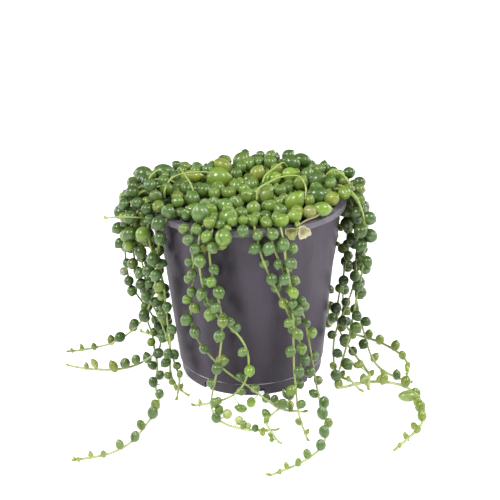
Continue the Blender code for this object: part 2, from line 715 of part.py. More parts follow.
# ---------------------------------------------------------------- pot and soil
POT_SEGMENTS = 40
FLOOR = 1.8
DRAINS = 8
DRAIN_WIDTH = 4.0
DRAIN_FIRST = 7.0  # azimuth of the drain hole nearest the front
DRAIN_REACH = (BASE_RADIUS - 6.0, BASE_RADIUS + 4.0)
DRAIN_TOP = 4.5
SKIRT = 1.5  # thickness of the lip's turned-down edge and of its flat
FOOT_LINE = 8.0
FOOT_STEP = 0.5  # how far the foot band stands in from the wall above it


def wall_radius(z):
    return BASE_RADIUS + (NECK_RADIUS - BASE_RADIUS) * z / (POT_HEIGHT - LIP_DROP)


def make_pot():
    under = POT_HEIGHT - SKIRT
    profile = [
        (0, FLOOR),
        (wall_radius(FLOOR) - WALL, FLOOR),
        (wall_radius(under) - WALL, POT_HEIGHT),
        (RIM_RADIUS, POT_HEIGHT),
        (RIM_RADIUS, POT_HEIGHT - LIP_DROP),
        (RIM_RADIUS - SKIRT, POT_HEIGHT - LIP_DROP),
        (RIM_RADIUS - SKIRT, under),
        (wall_radius(under), under),
        (wall_radius(FOOT_LINE), FOOT_LINE),
        (wall_radius(FOOT_LINE) - FOOT_STEP, FOOT_LINE - FOOT_STEP),
        (BASE_RADIUS - FOOT_STEP, 0),
        (0, 0),
    ]
    plastic = material("pot_plastic", (0.09, 0.078, 0.098), 0.45)
    pot = mesh_object("pot", *turned(profile, POT_SEGMENTS), plastic)
    slots = []
    for k in range(DRAINS):
        inner, outer = DRAIN_REACH
        bpy.ops.mesh.primitive_cube_add(size=1)
        slot = bpy.context.object
        azimuth = DRAIN_FIRST + 360 * k / DRAINS
        slot.scale = Vector((DRAIN_WIDTH, outer - inner, 2 * DRAIN_TOP)) * MM
        slot.location = round_pot(azimuth, (inner + outer) / 2, 0) * MM
        slot.rotation_euler.z = math.radians(azimuth)
        slots.append(slot)
    apply_boolean(pot, "DIFFERENCE", gathered("drain_holes", slots))
    return pot


SOIL_SEGMENTS = 32
SOIL_MIDDLE = 35.0  # radius of the ring between the soil's edge and its middle
ROOT_HOLE = (STEM_RADIUS + GAP) * 1.5  # radius of the square hole in the soil round a stem's root


def soil_height(radius):
    return SOIL_TOP + SOIL_DOME * (1 - (radius / NECK_RADIUS) ** 2)


def make_soil(routes):
    bottom = FLOOR + GAP
    inner = GAP + WALL
    profile = [
        (0, bottom),
        (wall_radius(bottom) - inner, bottom),
        (wall_radius(SOIL_TOP) - inner, SOIL_TOP),
        (SOIL_MIDDLE, soil_height(SOIL_MIDDLE)),
        (0, soil_height(0)),
    ]
    peat = material("peat", (0.030, 0.022, 0.016), 0.95)
    soil = mesh_object("soil", *turned(profile[::-1], SOIL_SEGMENTS), peat)
    holes = []
    for route in routes:
        root = Vector(route[0])
        bpy.ops.mesh.primitive_cylinder_add(
            vertices=4, radius=ROOT_HOLE * MM, depth=2 * (ROOT_DEPTH + GAP) * MM
        )
        hole = bpy.context.object
        hole.location = Vector((root.x, root.y, SOIL_TOP)) * MM
        holes.append(hole)
    apply_boolean(soil, "DIFFERENCE", gathered("stem_holes", holes))
    return soil


# ---------------------------------------------------------------- leaves and stems
LEAF_SIDES = 4
LEAF_RINGS = (-0.42, 0.42)  # how far they lie from the centre along the axis, in radii


def leaf_green(name):
    return material(name, (0.17, 0.26, 0.10), 0.35)


def leaf_solid(leaf, name="leaf"):
    """A faceted bead drawn out to a point at its tip, and to its root in the stem at the other end."""
    stalk = (leaf.centre - leaf.root).normalized()
    turn = ((leaf.tip - leaf.centre).normalized() + stalk).to_track_quat("Z", "Y")
    points = [leaf.root]
    for k, height in enumerate(LEAF_RINGS):
        ring = math.sqrt(1 - height**2)
        for s in range(LEAF_SIDES):
            angle = 2 * math.pi * (s + k / 2) / LEAF_SIDES
            spot = Vector((ring * math.cos(angle), ring * math.sin(angle), height))
            points.append(leaf.centre + turn @ spot * leaf.radius)
    points.append(leaf.tip)
    faces = []
    for k in range(LEAF_SIDES):
        n = (k + 1) % LEAF_SIDES
        low, high = 1, 1 + LEAF_SIDES
        faces.append((0, low + n, low + k))
        faces.append((low + k, low + n, high + k))
        faces.append((high + k, low + n, high + n))
        faces.append((high + k, high + n, len(points) - 1))
    return mesh_object(name, points, faces)


def thinned(line):
    """The points of a line that a straight run between their neighbours would miss by more than the slack."""
    first, last = Vector(line[0]), Vector(line[-1])
    if len(line) < 3:
        return [first, last]
    chord = last - first
    worst, index = 0.0, 0
    for k in range(1, len(line) - 1):
        here = Vector(line[k])
        t = max(0.0, min(1.0, (here - first).dot(chord) / max(chord.length_squared, 1e-9)))
        off = (first + chord * t - here).length
        if off > worst:
            worst, index = off, k
    if worst <= SLACK:
        return [first, last]
    return thinned(line[: index + 1])[:-1] + thinned(line[index:])


def on_line(line, point):
    """The point of a line nearest to this one."""
    spots = []
    for a, b in zip(line, line[1:]):
        t = max(0.0, min(1.0, (point - a).dot(b - a) / (b - a).length_squared))
        spots.append(a.lerp(b, t))
    return min(spots, key=lambda spot: (spot - point).length)


def stem_solid(name, line, start, end, finish, sides=3):
    """A tube along the line, its radius going from start to end."""
    points = []
    faces = []
    across = None
    for k, here in enumerate(line):
        ahead = (line[min(k + 1, len(line) - 1)] - line[max(k - 1, 0)]).normalized()
        if across is None:
            across = ahead.orthogonal()
        across = (across - ahead * across.dot(ahead)).normalized()
        other = ahead.cross(across)
        radius = start + (end - start) * k / (len(line) - 1)
        for s in range(sides):
            angle = 2 * math.pi * s / sides
            points.append(here + (across * math.cos(angle) + other * math.sin(angle)) * radius)
    for k in range(len(line) - 1):
        for s in range(sides):
            n = (s + 1) % sides
            a, b = k * sides, (k + 1) * sides
            faces.append((a + s, a + n, b + n, b + s))
    faces.append(list(range(sides))[::-1])
    faces.append([(len(line) - 1) * sides + s for s in range(sides)])
    return mesh_object(name, points, faces, finish)


def stem_pieces(name, route, leaves, finish):
    """A stem, and beads for one in so many of its leaves, each rooted in it."""
    line = thinned(route)
    stem = stem_solid(name, line, STEM_RADIUS, TIP_STEM_RADIUS, finish)
    return stem, [leaf_solid(leaf._replace(root=on_line(line, leaf.root))) for leaf in leaves[::BEAD_EVERY]]


def make_trailing_stem(name, route, leaves):
    stem, beads = stem_pieces(name, route, leaves, leaf_green(name + "_green"))
    apply_boolean(stem, "UNION", gathered(name + "_leaves", beads))
    return stem


BEAD_EVERY = 3  # one in so many of a stem's leaves is a bead of its solid
CROWN_BEADS = 105  # the crown's largest leaves, which its solid has as beads
CROWN_SEGMENTS = 16


def make_crown(sprigs, sprig_leaves, leaves):
    """The mat of old stems with the leaves and the short leafy stems that grow out of it."""
    finish = leaf_green("crown_green")
    profile = [(0, CORE_TOP)]
    for row in range(1, CORE_ROWS + 1):
        radius = CORE_RADIUS * row / CORE_ROWS
        profile.append((radius, core_height(radius)))
    for radius in (CORE_RADIUS, SOIL_MIDDLE, 0):
        profile.append((radius, soil_height(radius) + GAP))
    crown = mesh_object("crown", *turned(profile, CROWN_SEGMENTS), finish)
    pieces = [leaf_solid(leaf) for leaf in leaves[:CROWN_BEADS]]
    for route, mine in zip(sprigs, sprig_leaves):
        stem, beads = stem_pieces("sprig", route, mine, finish)
        pieces += [stem, *beads]
    apply_boolean(crown, "UNION", gathered("crown_growth", pieces))
    return crown


def main():
    for each in list(bpy.data.objects):
        bpy.data.objects.remove(each)
    routes, leaves, sprigs, sprig_leaves, crown = layout()
    make_pot()
    make_soil(routes)
    make_crown(sprigs, sprig_leaves, crown)
    for k, (route, mine) in enumerate(zip(routes, leaves), 1):
        make_trailing_stem(f"trailing_stem_{k:02d}", route, mine)


main()
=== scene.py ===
"""Potted string of pearls: the finished surfaces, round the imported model.

The first half repeats part.py's layout of stems and leaves, in millimetres, so that each fine leaf lies where
its solid is. An azimuth is in degrees round the pot from the front (-Y), positive towards +X.
"""

import math
import random
from collections import namedtuple

import bpy
import numpy as np
from mathutils import Matrix, Vector
from mathutils.kdtree import KDTree


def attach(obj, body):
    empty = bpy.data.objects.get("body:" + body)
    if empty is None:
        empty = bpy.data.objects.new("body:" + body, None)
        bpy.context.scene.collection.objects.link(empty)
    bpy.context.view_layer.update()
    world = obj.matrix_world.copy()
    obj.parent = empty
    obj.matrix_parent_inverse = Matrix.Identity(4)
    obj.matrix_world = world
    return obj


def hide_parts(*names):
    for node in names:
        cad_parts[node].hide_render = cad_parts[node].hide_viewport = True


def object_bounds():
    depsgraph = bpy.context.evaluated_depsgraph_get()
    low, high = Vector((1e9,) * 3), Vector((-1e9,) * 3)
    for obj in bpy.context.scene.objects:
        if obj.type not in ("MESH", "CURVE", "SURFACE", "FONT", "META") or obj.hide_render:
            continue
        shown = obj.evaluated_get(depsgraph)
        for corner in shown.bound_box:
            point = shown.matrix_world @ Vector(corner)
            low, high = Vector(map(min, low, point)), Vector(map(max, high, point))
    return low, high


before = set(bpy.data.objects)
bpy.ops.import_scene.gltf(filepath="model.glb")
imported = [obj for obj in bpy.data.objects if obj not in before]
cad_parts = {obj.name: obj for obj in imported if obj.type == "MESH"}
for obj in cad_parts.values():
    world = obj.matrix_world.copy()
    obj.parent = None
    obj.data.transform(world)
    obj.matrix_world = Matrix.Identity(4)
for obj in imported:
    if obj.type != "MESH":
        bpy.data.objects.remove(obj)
cad_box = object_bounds()
BOX_LOW, BOX_HIGH = np.array(cad_box) * 1000  # the room that the visible plant keeps to, in millimetres

# ---------------------------------------------------------------- driving dimensions
MM = 0.001
POT_HEIGHT = 112.0
RIM_RADIUS = 60.0  # outside of the lip
NECK_RADIUS = 56.0  # outside of the wall, just under the lip
BASE_RADIUS = 45.5
WALL = 1.4
LIP_DROP = 3.6
SOIL_TOP = 104.0
SOIL_DOME = 2.0  # how far the soil rises in the middle
GAP = 0.35  # clear space kept between separate pieces

STEM_RADIUS = 0.75
ROOT_RADIUS = 51.0  # where the trailing stems leave the soil
ROOT_DEPTH = 6.0
LYING = STEM_RADIUS + GAP  # height of a stem's axis where it lies on the surface
STEM_STEP = 2.5  # spacing of the points along a stem
SLACK = 0.55  # how far a stem's straight runs may stray from its curve
HANG_FROM = POT_HEIGHT - 11.0  # height from which a stem hangs free

LEAF = 3.4  # radius of a hanging leaf
OLD_LEAF = 4.2
OLD_STRETCH = 28.0  # length of stem from its root that carries old leaves, with all that is above the lip
YOUNG_LEAF = 1.3  # radius of the leaf at a growing tip
LEAF_GROWTH = 0.05  # gain in radius with each millimetre from the tip
SPRIG_GROWTH = 0.3  # the same in the crown's short stems
CROWN_LEAF = (3.8, 5.0)  # radii of the leaves heaped in the crown
CROWN_LEAF_LOSS = 1.0  # how much smaller the last of them are
BARE_ROOT = 10.0  # length of stem from its root that has no leaves
CROWDED_BESIDE = 85.0  # height down to which the stems at the pot's sides are crowded with leaves

CORE_RADIUS = 46.0  # the mat of old stems under the crown's leaves
CORE_EDGE = 109.5
CORE_TOP = 114.5
CORE_ROWS = 4
CROWN_REACH = 50.0  # outermost leaf centres of the crown
HEAP_FRONT = 113.4  # height of the heap of leaves at the front, less a share of each leaf's size
HEAP_SLOPE = 0.1  # its rise towards the back
BARE_PLACE = (-30.0, 46.0)  # where soil and lip show between the crown's leaves, at the back left
BARE_RADIUS = 13.0

# ---------------------------------------------------------------- layout of stems and leaves
# rim: azimuth where it crosses the lip. lift: how much higher than the lip it arches. hang: radius at which
# it hangs. open: how much further apart its leaves are on its lower half. run: the points that it passes on
# the surface, as x and y, the first being where it touches down. fall: the points that it passes while it
# hangs. A stem without a fall drifts evenly to its run. sway: its sideways bow, in degrees.
Strand = namedtuple("Strand", "rim lift hang open run fall sway", defaults=[(), 0])

STRANDS = [
    # front left
    Strand(-31, 0, 64, 1.8, [(19, -66), (30, -67)],
           [(-32, -57, 101), (-31, -57, 88), (-34, -54, 70), (-35, -53, 58), (-34, -54, 46), (-29, -57, 40),
            (-18, -61, 28), (-7, -63, 19), (9, -65, 8)]),
    Strand(-25, 1, 66, 2.2, [(-29, -57), (-35, -57)],
           [(-29, -61, 101), (-26, -60, 75), (-23, -61, 65), (-19, -62, 59), (-13, -64, 57), (-8, -65, 54),
            (-4, -65, 48), (-1, -65, 39), (-1, -65, 31), (-3, -64, 21), (-8, -63, 12), (-18, -61, 6)]),
    Strand(-19, 1, 67, 2.2, [(-26, -66), (-22, -74), (-12, -83), (0, -87), (13, -86)],
           [(-23, -63, 101), (-21, -64, 90), (-19, -65, 77), (-16, -66, 67), (-16, -67, 56), (-19, -66, 34),
            (-22, -65, 20), (-25, -64, 9)]),
    # front right
    Strand(3, 0, 65, 1.5, [(22, -64), (14, -69), (6, -73), (4, -79), (8, -89), (14, -99)],
           [(6, -65, 101), (9, -64, 91), (17, -62, 73), (26, -59, 50), (30, -57, 39), (30, -56, 31),
            (28, -57, 21), (26, -59, 9)]),
    Strand(10, 1, 66, 1.2,
           [(40, -61), (42, -74), (42, -84), (41, -96), (35, -110), (22, -122), (8, -130)],
           [(14, -65, 101), (23, -62, 80), (30, -58, 61), (35, -55, 32), (38, -54, 12)]),
    Strand(17, 0, 69, 1.6, [(26, -72), (28, -83), (30, -97)],
           [(19, -66, 101), (22, -67, 85), (24, -66, 64), (24, -65, 34), (25, -65, 19), (26, -67, 8)]),
    # left side
    Strand(-50, 1, 62, 1.6, [(-104, 23), (-113, 17), (-124, 17)],
           [(-51, -37, 101), (-55, -30, 91), (-58, -26, 75), (-60, -22, 62), (-63, -15, 47), (-67, -8, 36),
            (-75, 3, 24), (-85, 13, 12), (-95, 19, 4)]),
    Strand(-66, 3, 66, 1.3, [(-50, -24), (-45, -38), (-40, -44)],
           [(-60, -27, 101), (-56, -31, 90), (-51, -32, 72), (-51, -32, 60), (-52, -30, 50), (-49, -31, 37),
            (-50, -31, 26), (-51, -28, 12)]),
    Strand(-74, 5, 72, 1.6, [(-47, -28), (-44, -38), (-46, -48)],
           [(-69, -22, 101), (-66, -20, 88), (-64, -20, 74), (-61, -20, 56), (-57, -22, 45), (-53, -22, 33),
            (-50, -22, 18), (-48, -24, 6)]),
    Strand(-82, 7, 74, 1.3,
           [(-60, -20), (-61, -35), (-55, -56), (-62, -76), (-66, -92), (-78, -107), (-97, -111)],
           [(-73, -12, 101), (-72, -8, 88), (-69, -5, 58), (-66, -3, 46), (-66, -2, 27), (-60, -4, 18),
            (-60, -10, 9)]),
    Strand(-90, 9, 77, 2.0, [(-76, -8), (-88, -11), (-105, -9), (-119, -3)],
           [(-77, -2, 101), (-77, 0, 79), (-78, 1, 66), (-77, 2, 57), (-73, 2, 49), (-68, 0, 41),
            (-62, -3, 31), (-58, -6, 24), (-57, -7, 17), (-62, -7, 10), (-68, -7, 5)]),
    Strand(-98, 9, 72, 1.4, [], [(-71, 10, 101), (-70, 12, 80), (-66, 14, 60), (-64, 12, 44)]),
    Strand(-107, 8, 68, 1.3, [(-58, 28), (-64, 38), (-76, 44)],
           [(-65, 20, 101), (-62, 22, 80), (-60, 24, 50), (-58, 24, 20)]),
    # right side
    Strand(78, 6, 70, 1.4,
           [(48, -45), (53, -43), (62, -36), (74, -33), (88, -35), (98, -44), (101, -62), (98, -82),
            (77, -109)],
           [(68, -20, 109), (69, -22, 100), (69, -22, 88), (69, -20, 70), (66, -20, 58), (64, -21, 46),
            (62, -22, 33), (59, -26, 22), (54, -34, 10)]),
    Strand(86, 5, 64, 1.7, [(72, -16), (74, -28), (71, -41)],
           [(63, -9, 101), (61, -6, 92), (62, -4, 76), (60, -4, 68), (57, -6, 54), (54, -8, 40),
            (54, -10, 27), (60, -12, 17), (68, -12, 6)]),
    Strand(94, 6, 68, 1.5, [(52, -28), (58, -38), (66, -44)],
           [(68, 1, 101), (67, -2, 79), (67, -3, 66), (65, -6, 52), (57, -12, 36), (51, -18, 25),
            (51, -23, 12)]),
    Strand(102, 7, 70, 1.6, [(80, -20), (88, -27), (96, -34)],
           [(69, 9, 101), (68, 6, 80), (67, 3, 64), (66, 0, 50), (68, -5, 38), (72, -9, 22), (76, -13, 6)]),
    Strand(110, 6, 66, 1.6, [(67, 30), (78, 28), (89, 17), (98, 2), (101, -10), (99, -22), (95, -33)],
           [(63, 19, 101), (63, 16, 80), (61, 18, 50), (62, 24, 20)]),
    Strand(118, 6, 66, 1.3, [], [(59, 29, 101), (58, 26, 80), (55, 26, 60)]),
]
# Short stems of the crown that arch over the lip: azimuth, height over the lip, radius of their outermost
# stretch, height of their tip, and largest radius of the leaf that ends them, or 0 for young ones.
Sprig = namedtuple("Sprig", "rim lift reach tip end")
PLACED_SPRIGS = [
    # in front
    Sprig(-13, 117, 64, 113, 5.0),
    Sprig(-4, 117, 63, 115, 3.8),
    Sprig(26, 116, 63, 112, 3.8),
    # at the left
    Sprig(-112, 121, 66, 121, 5.0),
    Sprig(-104, 121, 70, 119, 4.0),
    Sprig(-93, 120, 62, 118, 4.6),
    Sprig(-82, 119, 71, 114, 3.8),
    # at the right
    Sprig(82, 119, 58, 119, 4.6),
    Sprig(90, 118, 65, 116, 4.2),
    Sprig(106, 119, 63, 120, 4.0),
]
SPRIG_RIMS = (98, 122, 136, 150, 164, 178, 192, 222, 234)  # azimuths of the others, which follow a rule
SPRIG_LIFT = (115.5, 119.0)
SPRIG_REACH = (66.0, 72.0)
SPRIG_DROP = (6.0, 16.0)  # how far the tip hangs below the highest point
SPRIG_ENDS = (0, 3.4, 4.0)
SPRIG_SEED = 3
BACK_RIMS = (128, 141, 154, 167, 180, 192, 228, 242)  # azimuths of the trailing stems behind
BACK_HANG = (65, 68, 70)
BACK_FOOT = 66.0  # how far from the pot's axis they touch down, and the spacing of the points from there
BACK_STRIDE = 13.0
BACK_SEED = 11
LEAF_SEED = 5
BIG_SEED = 2
WANDER_SEED = 400
WANDER = 2.2  # how far a hanging stem strays sideways, in degrees
CROWN_SEED = 23

# The most prominent leaves inside the lip, as x, y, height and radius.
Big = namedtuple("Big", "x y z radius")
BIG_LEAVES = [
    # along the back, from left to right
    Big(-45, 36, 123, 3.2),
    Big(-39, 32, 123, 3.2),
    Big(-15, 30, 124, 5.0),
    Big(-4, 43, 125, 4.8),
    Big(-4, 28, 123, 3.7),
    Big(9, 49, 125, 2.9),
    Big(15, 35, 124, 4.7),
    Big(27, 47, 125, 3.9),
    Big(28, 33, 124, 4.6),
    Big(35, 38, 124, 4.4),
    # across the middle
    Big(-52, 20, 123, 5.0),
    Big(-35, 17, 121, 4.6),
    Big(-18, 10, 122, 6.4),
    Big(6, 17, 122, 4.4),
    Big(16, 9, 121, 4.0),
    Big(26, 13, 122, 4.3),
    Big(37, 11, 122, 4.7),
    Big(42, 3, 121, 5.0),
    Big(50, 0, 120, 3.9),
    Big(-37, -5, 120, 3.6),
    Big(-20, -12, 119, 3.7),
    Big(-12, -12, 119, 3.8),
    Big(-41, -23, 118, 3.7),
    # front right
    Big(41, -20, 119, 5.1),
    Big(49, -24, 118, 4.1),
    Big(42, -40, 116, 4.3),
    Big(35, -42, 116, 3.8),
    Big(27, -28, 118, 5.2),
    Big(33, -26, 117, 3.8),
    Big(28, -41, 116, 3.9),
    Big(25, -51, 115, 4.1),
    Big(18, -55, 115, 4.0),
    Big(10, -18, 119, 4.7),
    Big(3, -36, 117, 4.4),
    Big(13, -32, 117, 4.1),
    # front left
    Big(-23, -49, 116, 5.4),
    Big(-11, -51, 116, 5.3),
    Big(-13, -30, 117, 4.6),
    Big(-25, -27, 117, 3.9),
    Big(-35, -41, 116, 3.8),
]

# The most prominent leaves outside the lip; each grows from the trailing stem nearest to it.
OUTER_LEAVES = [
    # in front, from left to right
    Big(-30, -55, 114, 3.7),
    Big(-32, -57, 108, 3.7),
    Big(-24, -60, 110, 3.7),
    Big(-17, -61, 114, 3.6),
    Big(2, -63, 113, 3.8),
    Big(2, -66, 107, 3.8),
    Big(9, -61, 115, 3.7),
    Big(11, -65, 104, 3.8),
    Big(18, -64, 105, 4.0),
    # at the left
    Big(-74, -10, 111, 3.6),
    Big(-76, -16, 105, 3.4),
    Big(-51, -38, 102, 3.8),
    # at the right
    Big(67, -14, 114, 3.4),
    Big(63, -17, 106, 4.0),
    Big(71, -17, 108, 3.8),
    Big(61, -5, 95, 4.4),
    Big(57, -9, 104, 3.6),
]

# A leaf: the point in its stem where it grows, its centre, its tip, and its radius.
Leaf = namedtuple("Leaf", "root centre tip radius")
TIP_REACH = 1.12  # how far a leaf's tip stands from its centre, in radii
TIP_ROOM = 0.15  # room kept for a leaf's tip
SEAT = 0.84  # how far a leaf's centre stands from its stem's axis, in radii
NECK = 0.5  # radius of the room kept for a leaf's stalk, in the leaf's radii
TOUCHING = 8.0  # height under which a stem counts as lying on the surface
LYING_OPEN = 1.25  # how much further apart leaves are where their stem lies on the surface
SPREAD = (0.75, 1.35)  # range of the spacing between leaves, as a share of the even one
OWN_OVERLAP = 0.5  # how deep a leaf may sink into its neighbours on the same stem, in millimetres
CROWN_OVERLAP = 0.1  # the same in the crown, in radii
LEAF_FAN = (-0.6, 1.5)  # range of the angle at which a leaf stands out from its stem, up from sideways
LEAF_TURNS = 24  # directions tried for a leaf, the later ones with a smaller leaf
TURN_LOSS = 0.97  # size of such a smaller leaf to the one tried before it
END_LOSS = 0.94  # the same for the leaf that ends a short stem
NUDGES = 60  # places tried for a prominent leaf
NEAR_SPOTS = 6  # points of stems from which a prominent leaf is tried
FURTHEST_NUDGE = 3.0
NUDGE_LOSS = 0.15  # share of its radius that the furthest nudge costs a prominent leaf


def round_pot(azimuth, radius, z):
    """The point at that azimuth, distance from the pot's axis and height."""
    angle = math.radians(azimuth)
    return Vector((radius * math.sin(angle), -radius * math.cos(angle), z))


def back_strands():
    """The stems behind the pot, each with its own length and turn on the surface."""
    rng = random.Random(BACK_SEED)
    made = []
    for rim in BACK_RIMS:
        foot = rim + rng.uniform(-5, 5)
        turn = rng.choice((-1, 1)) * rng.uniform(8, 16)
        steps = rng.randint(2, 4)
        run = [
            round_pot(foot + turn * k * k / steps, BACK_FOOT + BACK_STRIDE * k, 0).to_2d().to_tuple()
            for k in range(steps)
        ]
        hang = rng.choice(BACK_HANG)
        lift = rng.uniform(0, 4)
        sway = rng.uniform(-4, 4)
        made.append(Strand(rim, lift, hang, rng.uniform(1.2, 2.0), run, sway=sway))
    return made


def over_the_rim(rim, lift, hang):
    """The points that a stem passes from its root in the soil to the outside of the lip."""
    over = POT_HEIGHT + STEM_RADIUS + GAP
    return [
        round_pot(rim, ROOT_RADIUS, SOIL_TOP - ROOT_DEPTH),
        round_pot(rim, ROOT_RADIUS, SOIL_TOP + 3.0),
        round_pot(rim, ROOT_RADIUS + 2.5, over + 0.8 + 0.6 * lift),
        round_pot(rim, RIM_RADIUS - 2.0, over + 2.0 + lift),
        round_pot(rim, (RIM_RADIUS + hang) / 2 + 1.5, over - 0.5 + 0.8 * lift),
    ]


def even_fall(strand):
    """The points of a hanging stem that drifts evenly from the lip to its run, with a small wander."""
    x, y = strand.run[0]
    foot_radius = math.hypot(x, y)
    drift = (math.degrees(math.atan2(x, -y)) - strand.rim + 180) % 360 - 180
    rng = random.Random(WANDER_SEED + strand.rim)
    points = [round_pot(strand.rim, strand.hang, HANG_FROM)]
    for t in (0.2, 0.4, 0.6, 0.8):
        wander = rng.uniform(-WANDER, WANDER)
        azimuth = strand.rim + drift * t + strand.sway * math.sin(math.pi * t) + wander
        radius = strand.hang + (foot_radius - strand.hang) * t**3 + abs(wander) / 2
        points.append(round_pot(azimuth, radius, HANG_FROM * (1 - t)))
    return points


def way_points(strand):
    """The points that a trailing stem passes, from its root in the soil to its tip."""
    points = over_the_rim(strand.rim, strand.lift, strand.hang)
    points += [Vector(point) for point in strand.fall] or even_fall(strand)
    return points + [Vector((x, y, LYING)) for x, y in strand.run]


def all_sprigs():
    """The crown's short stems."""
    rng = random.Random(SPRIG_SEED)
    made = list(PLACED_SPRIGS)
    for rim in SPRIG_RIMS:
        lift = rng.uniform(*SPRIG_LIFT)
        end = rng.choice(SPRIG_ENDS)
        reach = rng.uniform(*SPRIG_REACH)
        made.append(Sprig(rim + rng.uniform(-3, 3), lift, reach, lift - rng.uniform(*SPRIG_DROP), end))
    return made


def sprig_points(sprig):
    """The points that a short stem passes, from its root in the mat to its tip outside the lip."""
    inner = CORE_RADIUS - 9.0
    return [
        round_pot(sprig.rim, inner, core_height(inner) - 2.5),
        round_pot(sprig.rim, CORE_RADIUS + 1.0, sprig.lift - 1.5),
        round_pot(sprig.rim, RIM_RADIUS - 3.0, sprig.lift),
        round_pot(sprig.rim + 1.5, sprig.reach - 1.0, (sprig.lift + sprig.tip) / 2 + 1.0),
        round_pot(sprig.rim + 1.0, sprig.reach, sprig.tip),
    ]


def smooth(points, step):
    """Points at about that spacing along a Catmull-Rom curve through the given points."""
    ends = [2 * points[0] - points[1], *points, 2 * points[-1] - points[-2]]
    line = []
    for a, b, c, d in zip(ends, ends[1:], ends[2:], ends[3:]):
        count = max(2, round((c - b).length))
        for k in range(count):
            t = k / count
            bend = (2 * a - 5 * b + 4 * c - d) * t**2 / 2
            line.append(b + (c - a) * t / 2 + bend + (3 * b - a - 3 * c + d) * t**3 / 2)
    line = np.array([*line, points[-1]], float)
    along = np.concatenate([[0], np.cumsum(np.linalg.norm(np.diff(line, axis=0), axis=1))])
    marks = np.linspace(0, along[-1], max(3, round(along[-1] / step) + 1))
    return np.stack([np.interp(marks, along, line[:, k]) for k in range(3)], axis=1)


def core_height(radius):
    return CORE_EDGE + (CORE_TOP - CORE_EDGE) * (1 - (radius / CORE_RADIUS) ** 2)


# The outside of the pot and soil in the half-plane of radius and height, and the same with the mat on top.
OUTLINE = [
    (0, 0),
    (BASE_RADIUS, 0),
    (NECK_RADIUS, POT_HEIGHT - LIP_DROP),
    (RIM_RADIUS, POT_HEIGHT - LIP_DROP),
    (RIM_RADIUS, POT_HEIGHT),
    (NECK_RADIUS - WALL, POT_HEIGHT),
    (NECK_RADIUS - WALL, SOIL_TOP),
    (0, SOIL_TOP + SOIL_DOME),
]
MATTED_OUTLINE = OUTLINE[:-1] + [(CORE_RADIUS, SOIL_TOP)]
for row in range(CORE_ROWS, -1, -1):
    MATTED_OUTLINE.append((CORE_RADIUS * row / CORE_ROWS, core_height(CORE_RADIUS * row / CORE_ROWS)))


def nearest_on(outline, radius, z):
    """The point of an outline nearest to this one, as distance from the pot's axis and height."""
    here = Vector((radius, z))
    best = None
    for a, b in zip(outline, outline[1:]):
        a, b = Vector(a), Vector(b)
        t = max(0.0, min(1.0, (here - a).dot(b - a) / (b - a).length_squared))
        point = a + (b - a) * t
        if best is None or (point - here).length < (best - here).length:
            best = point
    return best


def clearance(point, outline):
    radius = math.hypot(point[0], point[1])
    return (nearest_on(outline, radius, point[2]) - Vector((radius, point[2]))).length


SETTLE_ROUNDS = 60
APART = 2 * STEM_RADIUS + 2.95  # distance that settled stems keep from each other
CLEAR = STEM_RADIUS + GAP + 0.5  # distance from the pot that a settled stem's axis keeps
CROSSING = 6.0  # height over the surface under which stems pass over or under each other
PUSH = 0.35
EASE = 0.2


def settle(routes):
    """Moves the stems clear of each other, of the pot and of the surface, each above those before it where
    they cross on the surface; their roots stay put."""
    rooted = [sum(1 for x, y, z in route if math.hypot(x, y) < ROOT_RADIUS + 1) for route in routes]
    for _ in range(SETTLE_ROUNDS):
        tree = KDTree(sum(len(route) for route in routes))
        owners = []
        for owner, route in enumerate(routes):
            for point in route:
                tree.insert(point, len(owners))
                owners.append(owner)
        tree.balance()
        for owner, route in enumerate(routes):
            moved = route.copy()
            free = range(rooted[owner], len(route))
            for k in free:
                here = Vector(route[k])
                for other, index, distance in tree.find_range(here, APART):
                    if owners[index] != owner:
                        away = (here - other) / (distance + 0.01)
                        if here.z < LYING + CROSSING:
                            away.z += 1.0 if owner > owners[index] else -1.0
                        moved[k] += away * (APART - distance) * PUSH
            inner = slice(free.start, len(route) - 1)
            middle = (moved[free.start - 1 : -2] + moved[free.start + 1 :]) / 2
            moved[inner] += (middle - moved[inner]) * EASE
            for k in free:
                radius = math.hypot(moved[k][0], moved[k][1])
                near = nearest_on(OUTLINE, radius, moved[k][2])
                away = Vector((radius, moved[k][2])) - near
                if away.length < CLEAR:
                    away *= CLEAR / away.length - 1
                    moved[k][:2] *= (radius + away.x) / radius
                    moved[k][2] += away.y
                moved[k][2] = max(moved[k][2], LYING)
            routes[owner] = moved
    return routes


